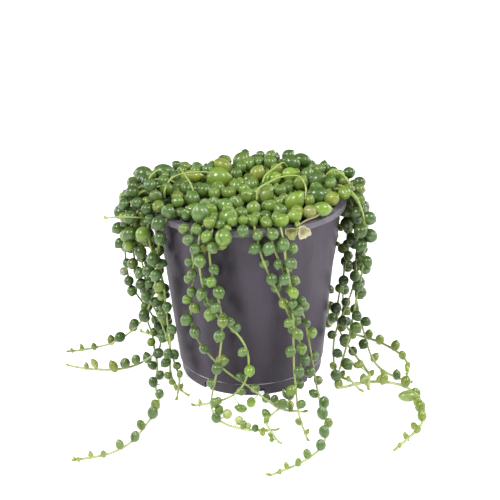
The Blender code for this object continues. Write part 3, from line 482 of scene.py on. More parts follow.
class Space:
    """The balls and stems placed so far, each with its owner: a trailing stem's number, or the crown's."""

    def __init__(self, routes, crown):
        self.centres = np.empty((0, 3))
        self.radii = np.empty(0)
        self.owners = np.empty(0, int)
        halved = [np.concatenate([route, (route[1:] + route[:-1]) / 2]) for route in routes]
        self.stems = np.concatenate(halved)
        owners = [np.full(len(line), min(k, crown)) for k, line in enumerate(halved)]
        self.stem_owners = np.concatenate(owners)

    def add(self, leaf, owner):
        """Keeps the room that a leaf and its point take up."""
        self.centres = np.vstack([self.centres, [leaf.centre], [leaf.tip]])
        self.radii = np.append(self.radii, (leaf.radius, TIP_ROOM))
        self.owners = np.append(self.owners, (owner, owner))

    def takes(self, leaf, owner, outline, own_overlap):
        """Whether a leaf has room: clear of what others own, and not deep in another leaf of its own stem."""
        neck = leaf.root.lerp(leaf.centre, 0.5)
        return (
            self.free(leaf.centre, leaf.radius, owner, outline, own_overlap)
            and self.free(leaf.tip, TIP_ROOM, owner, outline, leaf.radius)
            and self.free(neck, leaf.radius * NECK, owner, OUTLINE, leaf.radius)
        )

    def free(self, centre, radius, owner, outline, own_overlap):
        if centre[2] - radius < GAP or clearance(centre, outline) < radius + GAP:
            return False
        off = np.linalg.norm(self.stems - np.array(centre), axis=1)
        if (off[self.stem_owners != owner] < radius + STEM_RADIUS + GAP + SLACK).any():
            return False
        if not len(self.radii):
            return True
        off = np.linalg.norm(self.centres - np.array(centre), axis=1) - self.radii
        mine = self.owners == owner
        return not ((off[~mine] < radius + GAP).any() or (off[mine] < radius - own_overlap).any())


def stem_leaves(route, owner, open_by, space, rng):
    """Leaves set along a stem on alternate sides, each turned to where it fits. They are large in the crown
    and middling on the hanging stems, and shrink towards the growing tip. They stand further apart on a
    trailing stem's lower half, by open_by, which is 0 for a short stem, and where it lies on the surface."""
    length = (len(route) - 1) * STEM_STEP
    short = open_by == 0
    growth = SPRIG_GROWTH if short else LEAF_GROWTH
    along = BARE_ROOT
    side = 1
    made = []
    while along < length - 1.0:
        mark = along / STEM_STEP
        k = min(int(mark), len(route) - 2)
        here = Vector(route[k]).lerp(Vector(route[k + 1]), mark - k)
        forward = (Vector(route[k + 1]) - Vector(route[k])).normalized()
        beside = abs(here.x) > CORE_RADIUS
        crowded = short or along < OLD_STRETCH or here.z > (CROWDED_BESIDE if beside else POT_HEIGHT)
        full = OLD_LEAF if crowded else LEAF
        radius = min(full * rng.uniform(0.86, 1.12), YOUNG_LEAF + growth * (length - along))
        flat = forward.cross((0, 0, 1))
        if flat.length < 0.3:
            flat = Vector((here.y, -here.x, 0))
        flat = flat.normalized() * side
        up = flat.cross(forward) * side
        for turn in range(LEAF_TURNS):
            if turn > LEAF_TURNS / 2:
                radius *= TURN_LOSS
            angle = rng.uniform(*LEAF_FAN)
            out = (flat * math.cos(angle) + up * math.sin(angle)).normalized()
            centre = here + out * radius * SEAT
            if centre.z - radius < GAP and out.z > -0.9:
                lift = min(0.97, (radius + GAP + 0.02 - here.z) / (radius * SEAT))
                level = Vector((out.x, out.y, 0)).normalized() * math.sqrt(max(0.0, 1 - lift * lift))
                out = Vector((level.x, level.y, lift))
                centre = here + out * radius * SEAT
            droop = Vector((0, 0, -0.45 if here.z > 12 else 0.25))
            axis = (out + forward * 0.35 + droop).normalized()
            leaf = Leaf(here, centre, centre + axis * radius * TIP_REACH, radius)
            if space.takes(leaf, owner, MATTED_OUTLINE, OWN_OVERLAP):
                made.append(leaf)
                space.add(leaf, owner)
                break
        side = -side
        spacing = radius + 1.0 if crowded else 1.6 * radius + 1.6
        if not short and here.z < POT_HEIGHT / 2:
            spacing *= open_by
        if here.z < TOUCHING:
            spacing *= LYING_OPEN
        along += rng.uniform(*SPREAD) * spacing
    return made


def end_leaf(route, radius, space, owner):
    """The leaf that ends a short stem, as large as there is room for up to that radius, or None."""
    end = Vector(route[-1])
    ahead = (end - Vector(route[-2])).normalized()
    while radius > YOUNG_LEAF:
        centre = end + ahead * radius * SEAT
        leaf = Leaf(end - ahead * STEM_RADIUS, centre, centre + ahead * radius * TIP_REACH, radius)
        if space.takes(leaf, owner, OUTLINE, OWN_OVERLAP):
            space.add(leaf, owner)
            return leaf
        radius *= END_LOSS
    return None


def outer_leaves(routes, space):
    """The prominent leaves of each trailing stem, each as near its place as there is room."""
    rng = random.Random(BIG_SEED)
    made = [[] for _ in routes]
    spots = [(Vector(point), owner) for owner, route in enumerate(routes) for point in route]
    for big in OUTER_LEAVES:
        place = Vector(big[:3])
        near = sorted(spots, key=lambda spot: (spot[0] - place).length)[:NEAR_SPOTS]
        for k in range(NUDGES):
            root, owner = near[k * NEAR_SPOTS // NUDGES]
            spread = Vector([rng.gauss(0, FURTHEST_NUDGE * k / NUDGES) for _ in range(3)])
            out = (place + spread - root).normalized()
            radius = big.radius * (1 - NUDGE_LOSS * k / NUDGES)
            centre = root + out * radius * SEAT
            axis = (out + Vector((0, 0, -0.7))).normalized()
            leaf = Leaf(root, centre, centre + axis * radius * TIP_REACH, radius)
            if space.takes(leaf, owner, OUTLINE, CROWN_OVERLAP * radius):
                made[owner].append(leaf)
                space.add(leaf, owner)
                break
    return made


def mat_leaf(centre, radius, rng):
    """A leaf of the crown, with its stalk sunk in the mat and its tip turned outwards."""
    spot = math.hypot(centre.x, centre.y)
    azimuth = math.degrees(math.atan2(centre.x, -centre.y))
    rooted = min(spot, CORE_RADIUS - 3.0)
    lean = round_pot(azimuth + rng.uniform(-70, 70), 1.0, 0) * rng.uniform(0.2, 1.1)
    axis = (lean + Vector((0, 0, rng.uniform(0.2, 1.0)))).normalized()
    root = round_pot(azimuth, rooted, core_height(rooted) - 1.5)
    return Leaf(root, centre, centre + axis * radius * TIP_REACH, radius)


def big_leaves(space, owner):
    """The prominent leaves, each at its place or as near to it as there is room."""
    rng = random.Random(BIG_SEED)
    made = []
    for big in BIG_LEAVES:
        for k in range(NUDGES):
            shift = Vector([rng.gauss(0, FURTHEST_NUDGE * k / NUDGES) for _ in range(3)])
            leaf = mat_leaf(Vector(big[:3]) + shift, big.radius * (1 - NUDGE_LOSS * k / NUDGES), rng)
            if space.takes(leaf, owner, OUTLINE, CROWN_OVERLAP * leaf.radius):
                made.append(leaf)
                space.add(leaf, owner)
                break
    return made


def crown_leaves(space, owner, tries=7000):
    """Leaves heaped on the mat between the prominent ones, large ones first."""
    rng = random.Random(CROWN_SEED)
    made = []
    for k in range(tries):
        radius = rng.uniform(*CROWN_LEAF) - CROWN_LEAF_LOSS * k / tries
        here = round_pot(rng.uniform(0, 360), CROWN_REACH * math.sqrt(rng.random()), 0)
        if (here.to_2d() - Vector(BARE_PLACE)).length < BARE_RADIUS:
            continue
        low = core_height(min(here.length, CORE_RADIUS)) + 0.35 * radius
        high = HEAP_FRONT + 0.45 * radius + HEAP_SLOPE * (here.y + CROWN_REACH)
        here.z = low + max(1.0, high - low) * rng.random() ** 0.6
        leaf = mat_leaf(here, radius, rng)
        if space.takes(leaf, owner, OUTLINE, CROWN_OVERLAP * radius):
            made.append(leaf)
            space.add(leaf, owner)
    return made


def layout():
    """(the trailing stems' routes, their leaves, the sprigs' routes, their leaves, the crown's leaves)."""
    strands = STRANDS + back_strands()
    trailing = [way_points(strand) for strand in strands]
    sprigs = all_sprigs()
    short = [sprig_points(sprig) for sprig in sprigs]
    routes = settle([smooth(way, STEM_STEP) for way in trailing + short])
    crown = len(trailing)
    space = Space(routes, crown)
    ends = [end_leaf(route, sprig.end, space, crown) for route, sprig in zip(routes[crown:], sprigs)]
    crown_set = big_leaves(space, crown)
    outer = outer_leaves(routes[:crown], space)
    rng = random.Random(LEAF_SEED)
    leaves = []
    for k, strand in enumerate(strands):
        leaves.append(outer[k] + stem_leaves(routes[k], k, strand.open, space, rng))
    sprig_leaves = [stem_leaves(route, crown, 0, space, rng) for route in routes[crown:]]
    for mine, end in zip(sprig_leaves, ends):
        mine.extend([end] if end else [])
    return routes[:crown], leaves, routes[crown:], sprig_leaves, crown_set + crown_leaves(space, crown)


# ---------------------------------------------------------------- finish of stems and leaves
LEAF_AROUND = 20
LEAF_ALONG = 13
YOUNG_SIZE = 3.0  # radius under which a leaf near a tip counts as young
LEAF_FULL = 0.97  # a leaf's radius, in the radius of the room it has
POINT_RISE = 0.20  # how far the point stands out of the round leaf, in radii
POINT_WIDTH = 0.26
UNEVEN = 0.022  # how far a leaf's skin strays from round, in radii
FULL_TURN = 6.28  # range of a random phase
OVAL = (0.94, 1.0)  # range of a leaf's width, seen from above, to its thickness
WINDOW_ACROSS = (-0.7, 0.7)  # range of the way a leaf's window looks, along X and along Y, where up is 1
WINDOW_FORWARD = (-0.9, 0.5)
LONG_CHANCE = 0.07  # what chance, youth and lying on the surface add to a leaf's length, in its widths
LONG_YOUNG = 0.3
LONG_LYING = 0.12
LYING_LIFT = (0.2, 1.6)  # range of how far leaves on the surface turn their points up
STALK_RADIUS = 0.42
STALK = [(0.0, 1.0), (0.45, 0.8), (0.8, 1.3)]  # shares of the way to the leaf's centre, and of that radius
LINE_STEP = 1.3  # spacing of the rings along a fine stem
STEM_THICK = 0.68  # radius of a fine stem at its root
STEM_LOSS = 0.12  # what it loses towards its tip
LYING_THICK = 1.2  # how much thicker it is on the surface
PALE_THICK = 1.45  # the same on the pale runs
JOINT_SWELL = 0.35  # how much thicker it is where a leaf leaves it
JOINT_REACH = 0.9
LOW_ROOT = 9.0  # a leaf that roots below this height is on the surface
PALE_RUN = 55.0  # stems that run over the surface past here, at the right, are paler and thicker
PALING = (16.0, 4.0)  # heights between which a stem turns paler as it comes down
BUD_LEAVES = 3
BUD_RADII = (0.7, 1.05)
BUD_LONG = 1.5
ROOTLET_TOP = 16.0  # height under which a joint may have a rootlet
ROOTLET_SHARE = 0.3  # of the joints
ROOTLET_LENGTHS = (2.5, 5.5)
ROOTLET_RADII = (0.3, 0.16)
ROOTLET_STEP = 1.0  # spacing of the rings along it
TRAILING_SEED = 100
CROWN_TINT_SEED = 77
SOIL_SEED = 5

FRONT_GREEN = Vector((0.080, 0.142, 0.032))
# painted shade: the darker green of hanging leaves round the pot's sides, away from the front
SIDE_SHADE_GREEN = Vector((0.043, 0.085, 0.012))
CROWN_GREEN = Vector((0.140, 0.225, 0.036))
OLIVE_GREEN = Vector((0.225, 0.270, 0.036))
BRIGHT_GREEN = Vector((0.225, 0.340, 0.040))
DARK_GREEN = Vector((0.062, 0.120, 0.020))
BLUE_GREEN = Vector((0.100, 0.175, 0.060))
YOUNG_GREEN = Vector((0.270, 0.350, 0.060))
PALE_GREEN = Vector((0.360, 0.420, 0.150))
# painted shade: the near-black green of hanging leaves close to the wall at the right
WALL_SHADE_GREEN = Vector((0.020, 0.042, 0.007))
LEFT_GREEN = Vector((0.078, 0.142, 0.032))
TAN = Vector((0.360, 0.300, 0.130))
WILTED = Vector((0.300, 0.290, 0.210))
DRY = Vector((0.520, 0.480, 0.310))
STEM_GREEN = Vector((0.270, 0.350, 0.090))
STALK_GREEN = STEM_GREEN * 0.8
STEM_PALE = Vector((0.380, 0.430, 0.190))
STEM_OLD = Vector((0.190, 0.165, 0.065))
ROOTLET = Vector((0.120, 0.090, 0.055))

# Where the leaves' tints change: azimuths from the front, distances from the pot's axis, or places along X.
# azimuths over which hanging leaves darken with painted shade round the sides
PAINTED_SHADE_ROUND = (35.0, 70.0)
CROWN_BOUND = (RIM_RADIUS + 4.0, RIM_RADIUS - 4.0)
# distances from the pot's axis over which hanging leaves at the right darken with painted shade towards the
# wall
WALL_SHADE_REACH = (68.0, 61.0)
BESIDE_WALL = 45.0
DARKER_LEFT = (-18.0, -43.0)
DARKER_RIGHT = (15.0, 75.0)

# Leaves that differ from their neighbours: a place in the leaf, its tint, its length to width, the way it
# points, and how much larger it is than the room it has, as the big leaves press on the ones round them.
Look = namedtuple("Look", "place tint long axis size", defaults=[None, 1.14])
LOOKS = [
    # from the back to the front of the crown's left and middle
    Look((-15, 30, 124), OLIVE_GREEN, 1.15),
    Look((-4, 43, 125), CROWN_GREEN * 0.8, 1.1),
    Look((-35, 17, 121), OLIVE_GREEN, 1.4, (1, 0.1, 0)),
    Look((-18, 10, 122), BRIGHT_GREEN * 0.75, 1.08, (1, -0.2, 0.1)),
    Look((6, 17, 122), TAN * 0.15 + OLIVE_GREEN * 0.85, 1.1),
    Look((10, -18, 119), TAN * 0.15 + CROWN_GREEN * 0.85, 1.1),
    Look((-27, -51, 120), FRONT_GREEN * 1.25, 1.05),
    Look((-23, -49, 116), CROWN_GREEN, 1.05),
    Look((-11, -51, 116), CROWN_GREEN, 1.05),
    Look((-13, -65, 109), CROWN_GREEN, 1.0, None, 1.0),
    # the same at its right
    Look((27, 47, 125), DARK_GREEN, 1.0),
    Look((35, 38, 124), DARK_GREEN, 1.2, (1, -0.2, -0.1)),
    Look((28, 33, 124), DARK_GREEN, 1.2, (-1, 0.3, 0.2)),
    Look((26, 13, 122), BRIGHT_GREEN, 1.1),
    Look((16, 9, 121), BRIGHT_GREEN, 1.1),
    Look((42, 3, 121), DARK_GREEN, 1.1),
    Look((50, 0, 120), DARK_GREEN, 1.0),
    Look((41, -20, 119), DARK_GREEN, 1.15, (1, 0, -0.2)),
    Look((49, -24, 118), OLIVE_GREEN, 1.1),
    Look((27, -28, 118), BRIGHT_GREEN * 0.85, 1.15, (0.6, -0.2, 0.8)),
    Look((42, -40, 116), BRIGHT_GREEN * 0.8, 1.2, (1, 0.3, -0.1)),
    Look((35, -42, 116), TAN * 0.5 + CROWN_GREEN * 0.5, 1.0),
    Look((28, -41, 116), OLIVE_GREEN, 1.1),
    Look((25, -51, 115), BRIGHT_GREEN * 0.85, 1.1),
    Look((18, -55, 115), BRIGHT_GREEN * 0.8, 1.15),
    # over the lip, hanging and lying at the left
    Look((-52, 20, 123), DARK_GREEN, 1.25, (1, 0.1, -0.1)),
    Look((-66, 26, 123), DARK_GREEN, 1.1),
    Look((-66, 0, 120), DARK_GREEN, 1.05),
    Look((-79, 2, 64), WILTED, 1.0, None, 1.0),
    Look((-89, -11, 3), OLIVE_GREEN, 1.25, (-0.4, 0, 1), 1.2),
]
LOOK_REACH = 3.0

# Leaves on the runs over the surface, besides those that stand on their stems by rule.
Extra = namedtuple("Extra", "centre radius tint long axis", defaults=[1.15, (0.2, -0.3, 1)])
EXTRAS = [
    # in front
    Extra((-20, -67, 3.2), 3.0, CROWN_GREEN),
    Extra((-15, -71, 3.0), 3.0, PALE_GREEN, 1.0),
    Extra((-8, -78, 2.8), 2.7, PALE_GREEN, 1.0),
    Extra((-3, -83, 2.2), 2.0, PALE_GREEN),
    Extra((1, -86, 2.4), 2.2, DARK_GREEN, 1.2),
    Extra((5, -90, 2.2), 2.0, OLIVE_GREEN, 1.3, (0.1, -1, -0.2)),
    Extra((10, -97, 1.7), 1.5, CROWN_GREEN),
    Extra((-7, -65, 3.0), 2.8, CROWN_GREEN, 1.3, (-1, 0.1, 0.2)),
    Extra((-1, -59, 3.2), 3.0, BRIGHT_GREEN),
    Extra((8, -54, 3.0), 2.8, CROWN_GREEN),
    Extra((13, -56, 3.0), 2.8, FRONT_GREEN),
    Extra((22, -62, 2.8), 2.6, PALE_GREEN, 1.0),
    # at the right
    Extra((60, -30, 13.0), 2.4, PALE_GREEN, 1.5, (1, 0, -0.3)),
    Extra((66, -30, 11.0), 2.5, OLIVE_GREEN, 1.3, (1, 0, 0.1)),
    Extra((70, -35, 4.0), 2.2, PALE_GREEN, 1.6, (1, 0.2, 0.4)),
    Extra((78, -36, 4.0), 2.0, OLIVE_GREEN, 1.5),
    Extra((90, -30, 3.2), 2.9, DARK_GREEN, 1.2, (0, 0, 1)),
    Extra((93, -56, 3.6), 4.2, CROWN_GREEN * 0.5 + PALE_GREEN * 0.5, 1.5, (1, 0.1, 0)),
    Extra((97, -62, 3.0), 2.4, OLIVE_GREEN, 1.3),
    Extra((91, -88, 2.6), 2.3, OLIVE_GREEN, 1.3, (0.2, -1, 0)),
    # at the left
    Extra((-101, -9.4, 5.4), 2.6, PALE_GREEN * 0.6 + OLIVE_GREEN * 0.4, 1.35, (-0.5, 0, 1)),
    Extra((-81.3, -10.2, 5.6), 3.4, CROWN_GREEN * 0.7, 1.05),
    Extra((-74.5, -8.5, 7.2), 3.2, CROWN_GREEN * 0.8, 1.1),
]


def leaf_template():
    """(points, faces) of a round leaf of radius 1 about the origin, its point towards +Z."""
    points = [(0, 0, -1.0)]
    for row in range(1, LEAF_ALONG):
        # rows crowd towards the point
        angle = math.pi * (1 - (row / LEAF_ALONG) ** 0.9)
        ring = math.sin(angle)
        height = math.cos(angle)
        if height > 0:
            height += POINT_RISE * math.exp(-((ring / POINT_WIDTH) ** 2))
        for k in range(LEAF_AROUND):
            turn = 2 * math.pi * k / LEAF_AROUND
            points.append((ring * math.cos(turn), ring * math.sin(turn), height))
    points.append((0, 0, 1.0 + POINT_RISE))
    faces = []
    last = len(points) - 1
    for k in range(LEAF_AROUND):
        n = (k + 1) % LEAF_AROUND
        faces.append((0, 1 + n, 1 + k))
        for row in range(LEAF_ALONG - 2):
            low, high = 1 + row * LEAF_AROUND, 1 + (row + 1) * LEAF_AROUND
            faces.append((low + k, low + n, high + n, high + k))
        top = 1 + (LEAF_ALONG - 2) * LEAF_AROUND
        faces.append((top + k, top + n, last))
    return np.array(points), faces


LEAF_POINTS, LEAF_FACES = leaf_template()


def ring_faces(rings, sides):
    """The faces of a skin over that many rings of points, with both ends closed."""
    faces = []
    for low in range(0, (rings - 1) * sides, sides):
        for s in range(sides):
            n = (s + 1) % sides
            faces.append((low + s, low + n, low + sides + n, low + sides + s))
    return faces + [tuple(range(sides))[::-1], tuple((rings - 1) * sides + s for s in range(sides))]


class Growth:
    """Collects leaves and stems for one piece: their points, faces, tints, and each leaf point's place on its
    leaf, which the leaf's markings follow."""

    def __init__(self):
        self.points = []
        self.faces = []
        self.tints = []
        self.spots = []
        self.kinds = []
        self.count = 0

    def add(self, points, faces, tint, spots=(0, 0, 0), kind=1):
        """Adds a form of one material: 0 for leaves, 1 for stems. The tint is one, or one for each point."""
        self.points.append(np.asarray(points, float))
        self.faces += [[corner + self.count for corner in face] for face in faces]
        tints = np.ones((len(points), 4))
        tints[:, :3] = tint
        self.tints.append(tints)
        self.spots.append(np.zeros((len(points), 3)) + spots)
        self.kinds += [kind] * len(faces)
        self.count += len(points)

    def leaf(self, leaf, tint, rng, long=1.0, full=LEAF_FULL):
        """A round leaf: long above 1 draws it out, and its darker window looks up."""
        axis = (leaf.tip - leaf.centre).normalized()
        up = Vector((rng.uniform(*WINDOW_ACROSS), rng.uniform(*WINDOW_FORWARD), 1.0))
        window = (up - axis * up.dot(axis)).normalized()
        across = window.cross(axis)
        radius = leaf.radius * full
        wide = radius / math.sqrt(long)
        sizes = np.array([across * wide * rng.uniform(*OVAL), window * wide, axis * radius * long])
        phase = rng.uniform(0, FULL_TURN)
        x, _, z = LEAF_POINTS.T
        swell = 1 + UNEVEN * np.sin(2.6 * x + phase) * np.cos(2.2 * z + 1.7 * phase)
        points = (LEAF_POINTS * swell[:, None]) @ sizes + np.array(leaf.centre)
        inward = np.maximum(BOX_LOW - points.min(axis=0), 0) - np.maximum(points.max(axis=0) - BOX_HIGH, 0)
        self.add(points + inward, LEAF_FACES, tint, LEAF_POINTS, 0)

    def tube(self, line, radii, tint, sides=8):
        """A closed tube along the line, with a radius for each point, and one tint or a tint for each."""
        line = [Vector(p) for p in line]
        points = []
        across = None
        for k, here in enumerate(line):
            ahead = (line[min(k + 1, len(line) - 1)] - line[max(k - 1, 0)]).normalized()
            if across is None:
                across = ahead.orthogonal()
            across = (across - ahead * across.dot(ahead)).normalized()
            other = ahead.cross(across)
            for s in range(sides):
                angle = 2 * math.pi * s / sides
                points.append(here + (across * math.cos(angle) + other * math.sin(angle)) * radii[k])
        if isinstance(tint, list):
            tint = np.repeat(np.array(tint), sides, axis=0)
        self.add(np.clip(np.array(points), BOX_LOW, BOX_HIGH), ring_faces(len(line), sides), tint)

    def build(self, name, node, materials):
        """Makes the piece of that name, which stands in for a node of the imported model."""
        mesh = bpy.data.meshes.new(name)
        mesh.from_pydata(np.concatenate(self.points) * MM, [], self.faces)
        for each in materials:
            mesh.materials.append(each)
        mesh.polygons.foreach_set("material_index", self.kinds)
        tint = mesh.color_attributes.new("tint", "FLOAT_COLOR", "POINT")
        tint.data.foreach_set("color", np.concatenate(self.tints).ravel())
        spot = mesh.attributes.new("spot", "FLOAT_VECTOR", "POINT")
        spot.data.foreach_set("vector", np.concatenate(self.spots).ravel())
        mesh.shade_smooth()
        made = bpy.data.objects.new(name, mesh)
        bpy.context.scene.collection.objects.link(made)
        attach(made, "root")
        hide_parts(node)


def part_way(value, start, end):
    """How far the value is from start to end, as a share."""
    return (value - start) / (end - start)


def blend_colours(a, b, share):
    share = max(0.0, min(1.0, share))
    return a * (1 - share) + b * share


def look_of(leaf):
    for look in LOOKS:
        if (leaf.centre - Vector(look.place)).length < LOOK_REACH:
            return look
    return None


def leaf_tint(leaf, rng, young=0.0):
    """Hanging leaves are darker round the sides, and darkest beside the wall at the right, both painted
    shade.
    The crown's leaves are lighter, less so at its left and right. Those on the right's runs, and young ones,
    are yellower."""
    x = leaf.centre.x
    reach = leaf.centre.to_2d().length
    away = abs(math.degrees(math.atan2(x, -leaf.centre.y)))
    # painted shade: hanging leaves darken round the sides
    hanging = blend_colours(FRONT_GREEN, SIDE_SHADE_GREEN, part_way(away, *PAINTED_SHADE_ROUND) + rng.uniform(-0.3, 0.2))
    # painted shade: hanging leaves darkest close to the wall at the right
    if x > BESIDE_WALL:
        hanging = blend_colours(hanging, WALL_SHADE_GREEN, part_way(reach, *WALL_SHADE_REACH))
    other = rng.choice((OLIVE_GREEN, BRIGHT_GREEN, BLUE_GREEN, DARK_GREEN))
    crown = blend_colours(CROWN_GREEN, LEFT_GREEN, part_way(x, *DARKER_LEFT))
    crown = blend_colours(crown, DARK_GREEN, min(0.4, part_way(x, *DARKER_RIGHT)))
    above_soil = leaf.centre.z > SOIL_TOP
    tint = blend_colours(hanging, crown, part_way(reach, *CROWN_BOUND) if above_soil else 0.0)
    tint = blend_colours(tint, other, rng.random() ** 1.6 * 0.75)
    if leaf.centre.z < LOW_ROOT and x > PALE_RUN:
        tint = blend_colours(tint, OLIVE_GREEN, 0.6)
    return blend_colours(tint, YOUNG_GREEN, young) * rng.uniform(0.85, 1.15)


# ---------------------------------------------------------------- materials
class Tree:
    """The nodes of a material or of the world. A value is a number, a tuple or another node's output."""

    def __init__(self, owner):
        owner.use_nodes = True
        self.nodes = owner.node_tree.nodes
        self.links = owner.node_tree.links

    def set(self, inputs, values):
        for key, value in values.items():
            if isinstance(value, bpy.types.NodeSocket):
                self.links.new(value, inputs[key])
            else:
                inputs[key].default_value = value

    def surface(self, values):
        self.set(self.nodes["Principled BSDF"].inputs, values)

    def node(self, kind, values, **settings):
        """The outputs of a new node."""
        made = self.nodes.new("ShaderNode" + kind)
        for key, value in settings.items():
            setattr(made, key, value)
        self.set(made.inputs, values)
        return made.outputs

    def attribute(self, name, kind):
        return self.node("Attribute", {}, attribute_name=name)[kind]

    def place(self):
        return self.node("TexCoord", {})["Object"]

    def parts(self, vector):
        return self.node("SeparateXYZ", {0: vector})

    def math(self, operation, *values):
        return self.node("Math", dict(enumerate(values)), operation=operation)[0]

    def ramp(self, value, low, high, start=0.0, end=1.0):
        """Value taken smoothly from low..high to start..end."""
        values = {"Value": value, "From Min": low, "From Max": high, "To Min": start, "To Max": end}
        return self.node("MapRange", values, interpolation_type="SMOOTHSTEP")["Result"]

    def seen(self, given, shown):
        """One value for the light that is given, and another for what the camera sees."""
        return self.ramp(self.node("LightPath", {})["Is Camera Ray"], 0.0, 1.0, given, shown)

    def noise(self, coordinates, scale, detail=3.0, stretch=(1, 1, 1)):
        placed = self.node("Mapping", {"Vector": coordinates, "Scale": stretch})[0]
        return self.node("TexNoise", {"Vector": placed, "Scale": scale, "Detail": detail})["Fac"]

    def bump(self, height, distance):
        return self.node("Bump", {"Height": height, "Distance": distance, "Strength": 1.0})[0]

    def layers(self, colour, *layers):
        """A colour with others laid on it in turn, each given as its way of mixing, its share and itself."""
        for kind, share, over in layers:
            values = {0: share, 6: colour, 7: (*over, 1.0)}
            colour = self.node("Mix", values, data_type="RGBA", blend_type=kind)[2]
        return colour


def leaf_material():
    """Waxy succulent skin: a darker window along the top, fine lengthwise streaks, and a dry point."""
    made = bpy.data.materials.new("leaf_skin")
    tree = Tree(made)
    spot = tree.attribute("spot", "Vector")
    x, y, z = tree.parts(spot)
    where = tree.place()
    streaks = tree.noise(spot, 4.0, 2.0, (2.2, 2.2, 0.35))
    bloom = tree.noise(where, 260.0)
    fine = tree.noise(where, 900.0, 2.0)
    narrow = tree.ramp(tree.math("ABSOLUTE", x), 0.05, 0.17, 1.0, 0.0)
    window = tree.math("MULTIPLY", narrow, tree.ramp(y, 0.05, 0.35))
    colour = tree.layers(
        tree.attribute("tint", "Color"),
        ("MULTIPLY", tree.ramp(streaks, 0.35, 0.7), (0.80, 0.86, 0.72)),
        ("MIX", tree.ramp(bloom, 0.45, 0.75, 0.0, 0.15), (0.33, 0.42, 0.27)),
        ("MULTIPLY", tree.math("MULTIPLY", window, 0.75), (0.50, 0.62, 0.42)),
        ("MIX", tree.ramp(z, 1.06, 1.16, 0.0, 0.7), (0.26, 0.29, 0.09)),
        ("MIX", tree.ramp(z, -0.85, -1.0, 0.0, 0.5), (0.30, 0.36, 0.11)),
    )
    tree.surface({
        "Base Color": colour,
        "Roughness": tree.ramp(bloom, 0.3, 0.7, 0.33, 0.46),
        "IOR": 1.40,
        "Subsurface Weight": 0.12,
        "Subsurface Radius": (0.6, 1.0, 0.25),
        "Subsurface Scale": 0.0022,
        "Coat Weight": 0.40,
        "Coat Roughness": 0.10,
        "Normal": tree.bump(tree.math("ADD", fine, streaks), 0.00006),
    })
    return made


def stem_material():
    """Thin green stems, browner where old, with a fine grain."""
    made = bpy.data.materials.new("stem_skin")
    tree = Tree(made)
    where = tree.place()
    patches = tree.noise(where, 180.0)
    browner = ("MIX", tree.ramp(patches, 0.5, 0.75, 0.0, 0.45), (0.20, 0.15, 0.075))
    tree.surface({
        "Base Color": tree.layers(tree.attribute("tint", "Color"), browner),
        "Roughness": tree.ramp(patches, 0.3, 0.7, 0.42, 0.58),
        "Subsurface Weight": 0.1,
        "Subsurface Radius": (0.6, 1.0, 0.25),
        "Subsurface Scale": 0.001,
        "Normal": tree.bump(tree.noise(where, 1500.0, 2.0), 0.00005),
    })
    return made


def pot_material():
    """Satin moulded plastic with faint runs down the wall, dust, painted light on the lip and a painted
    highlight along the foot line.
    """
    made = bpy.data.materials.new("pot_plastic")
    tree = Tree(made)
    where = tree.place()
    height = tree.parts(where)[2]
    runs = tree.noise(where, 45.0, 4.0, (1.0, 1.0, 0.10))
    cloud = tree.noise(where, 28.0)
    dust = tree.noise(where, 700.0, 4.0)
    off_line = tree.math("ABSOLUTE", tree.math("SUBTRACT", height, FOOT_LINE * MM))
    on_line = tree.ramp(off_line, 0.0002, 0.0006, 1.0, 0.0)
    # painted highlight: a light line along the moulded foot line, broken into patches by the runs
    foot_highlight = tree.math("MULTIPLY", on_line, tree.ramp(runs, 0.35, 0.55))
    lip = (POT_HEIGHT - LIP_DROP) * MM
    # painted light: the lip made lighter in patches, for the light that it catches from above
    lip_light_patches = tree.math("ADD", tree.math("MULTIPLY", dust, 0.5), runs)
    on_lip = tree.ramp(height, lip - 0.0003, lip + 0.0002)
    lip_light = tree.math("MULTIPLY", on_lip, tree.ramp(lip_light_patches, 0.5, 0.85, 0.25, 0.9))
    colour = tree.layers(
        (0.018, 0.012, 0.022, 1.0),
        ("MIX", tree.ramp(runs, 0.38, 0.62), (0.052, 0.038, 0.061)),
        ("MIX", tree.ramp(cloud, 0.45, 0.8, 0.0, 0.35), (0.060, 0.046, 0.070)),
        ("MIX", tree.ramp(dust, 0.62, 0.8, 0.0, 0.30), (0.15, 0.14, 0.15)),
        ("MIX", foot_highlight, (0.36, 0.34, 0.37)),
        ("MIX", lip_light, (0.125, 0.112, 0.135)),
    )
    tree.surface({
        "Base Color": colour,
        "Roughness": tree.ramp(runs, 0.3, 0.75, 0.36, 0.52),
        "IOR": 1.42,
        "Normal": tree.bump(tree.math("ADD", dust, runs), 0.00005),
    })
    return made


def grainy_material(name, grain, dark, light, roughness, depth):
    """A rough material, its grain given as scale, detail and the noise at which it is fully light."""
    made = bpy.data.materials.new(name)
    tree = Tree(made)
    scale, detail, high = grain
    noise = tree.noise(tree.place(), scale, detail)
    tree.surface({
        "Base Color": tree.layers((*dark, 1.0), ("MIX", tree.ramp(noise, 0.35, high), light)),
        "Roughness": roughness,
        "Normal": tree.bump(noise, depth),
    })
    return made


def soil_material():
    dark, light = (0.010, 0.007, 0.005), (0.060, 0.042, 0.028)
    return grainy_material("peat", (600.0, 5.0, 0.7), dark, light, 0.95, 0.0006)


def mat_shade_material():
    """The tangle under the crown's leaves: its grain, darkened with painted shade."""
    dark, light = (0.012, 0.014, 0.005), (0.075, 0.088, 0.030)
    return grainy_material("mat_painted_shade", (380.0, 4.0, 0.68), dark, light, 0.85, 0.0015)


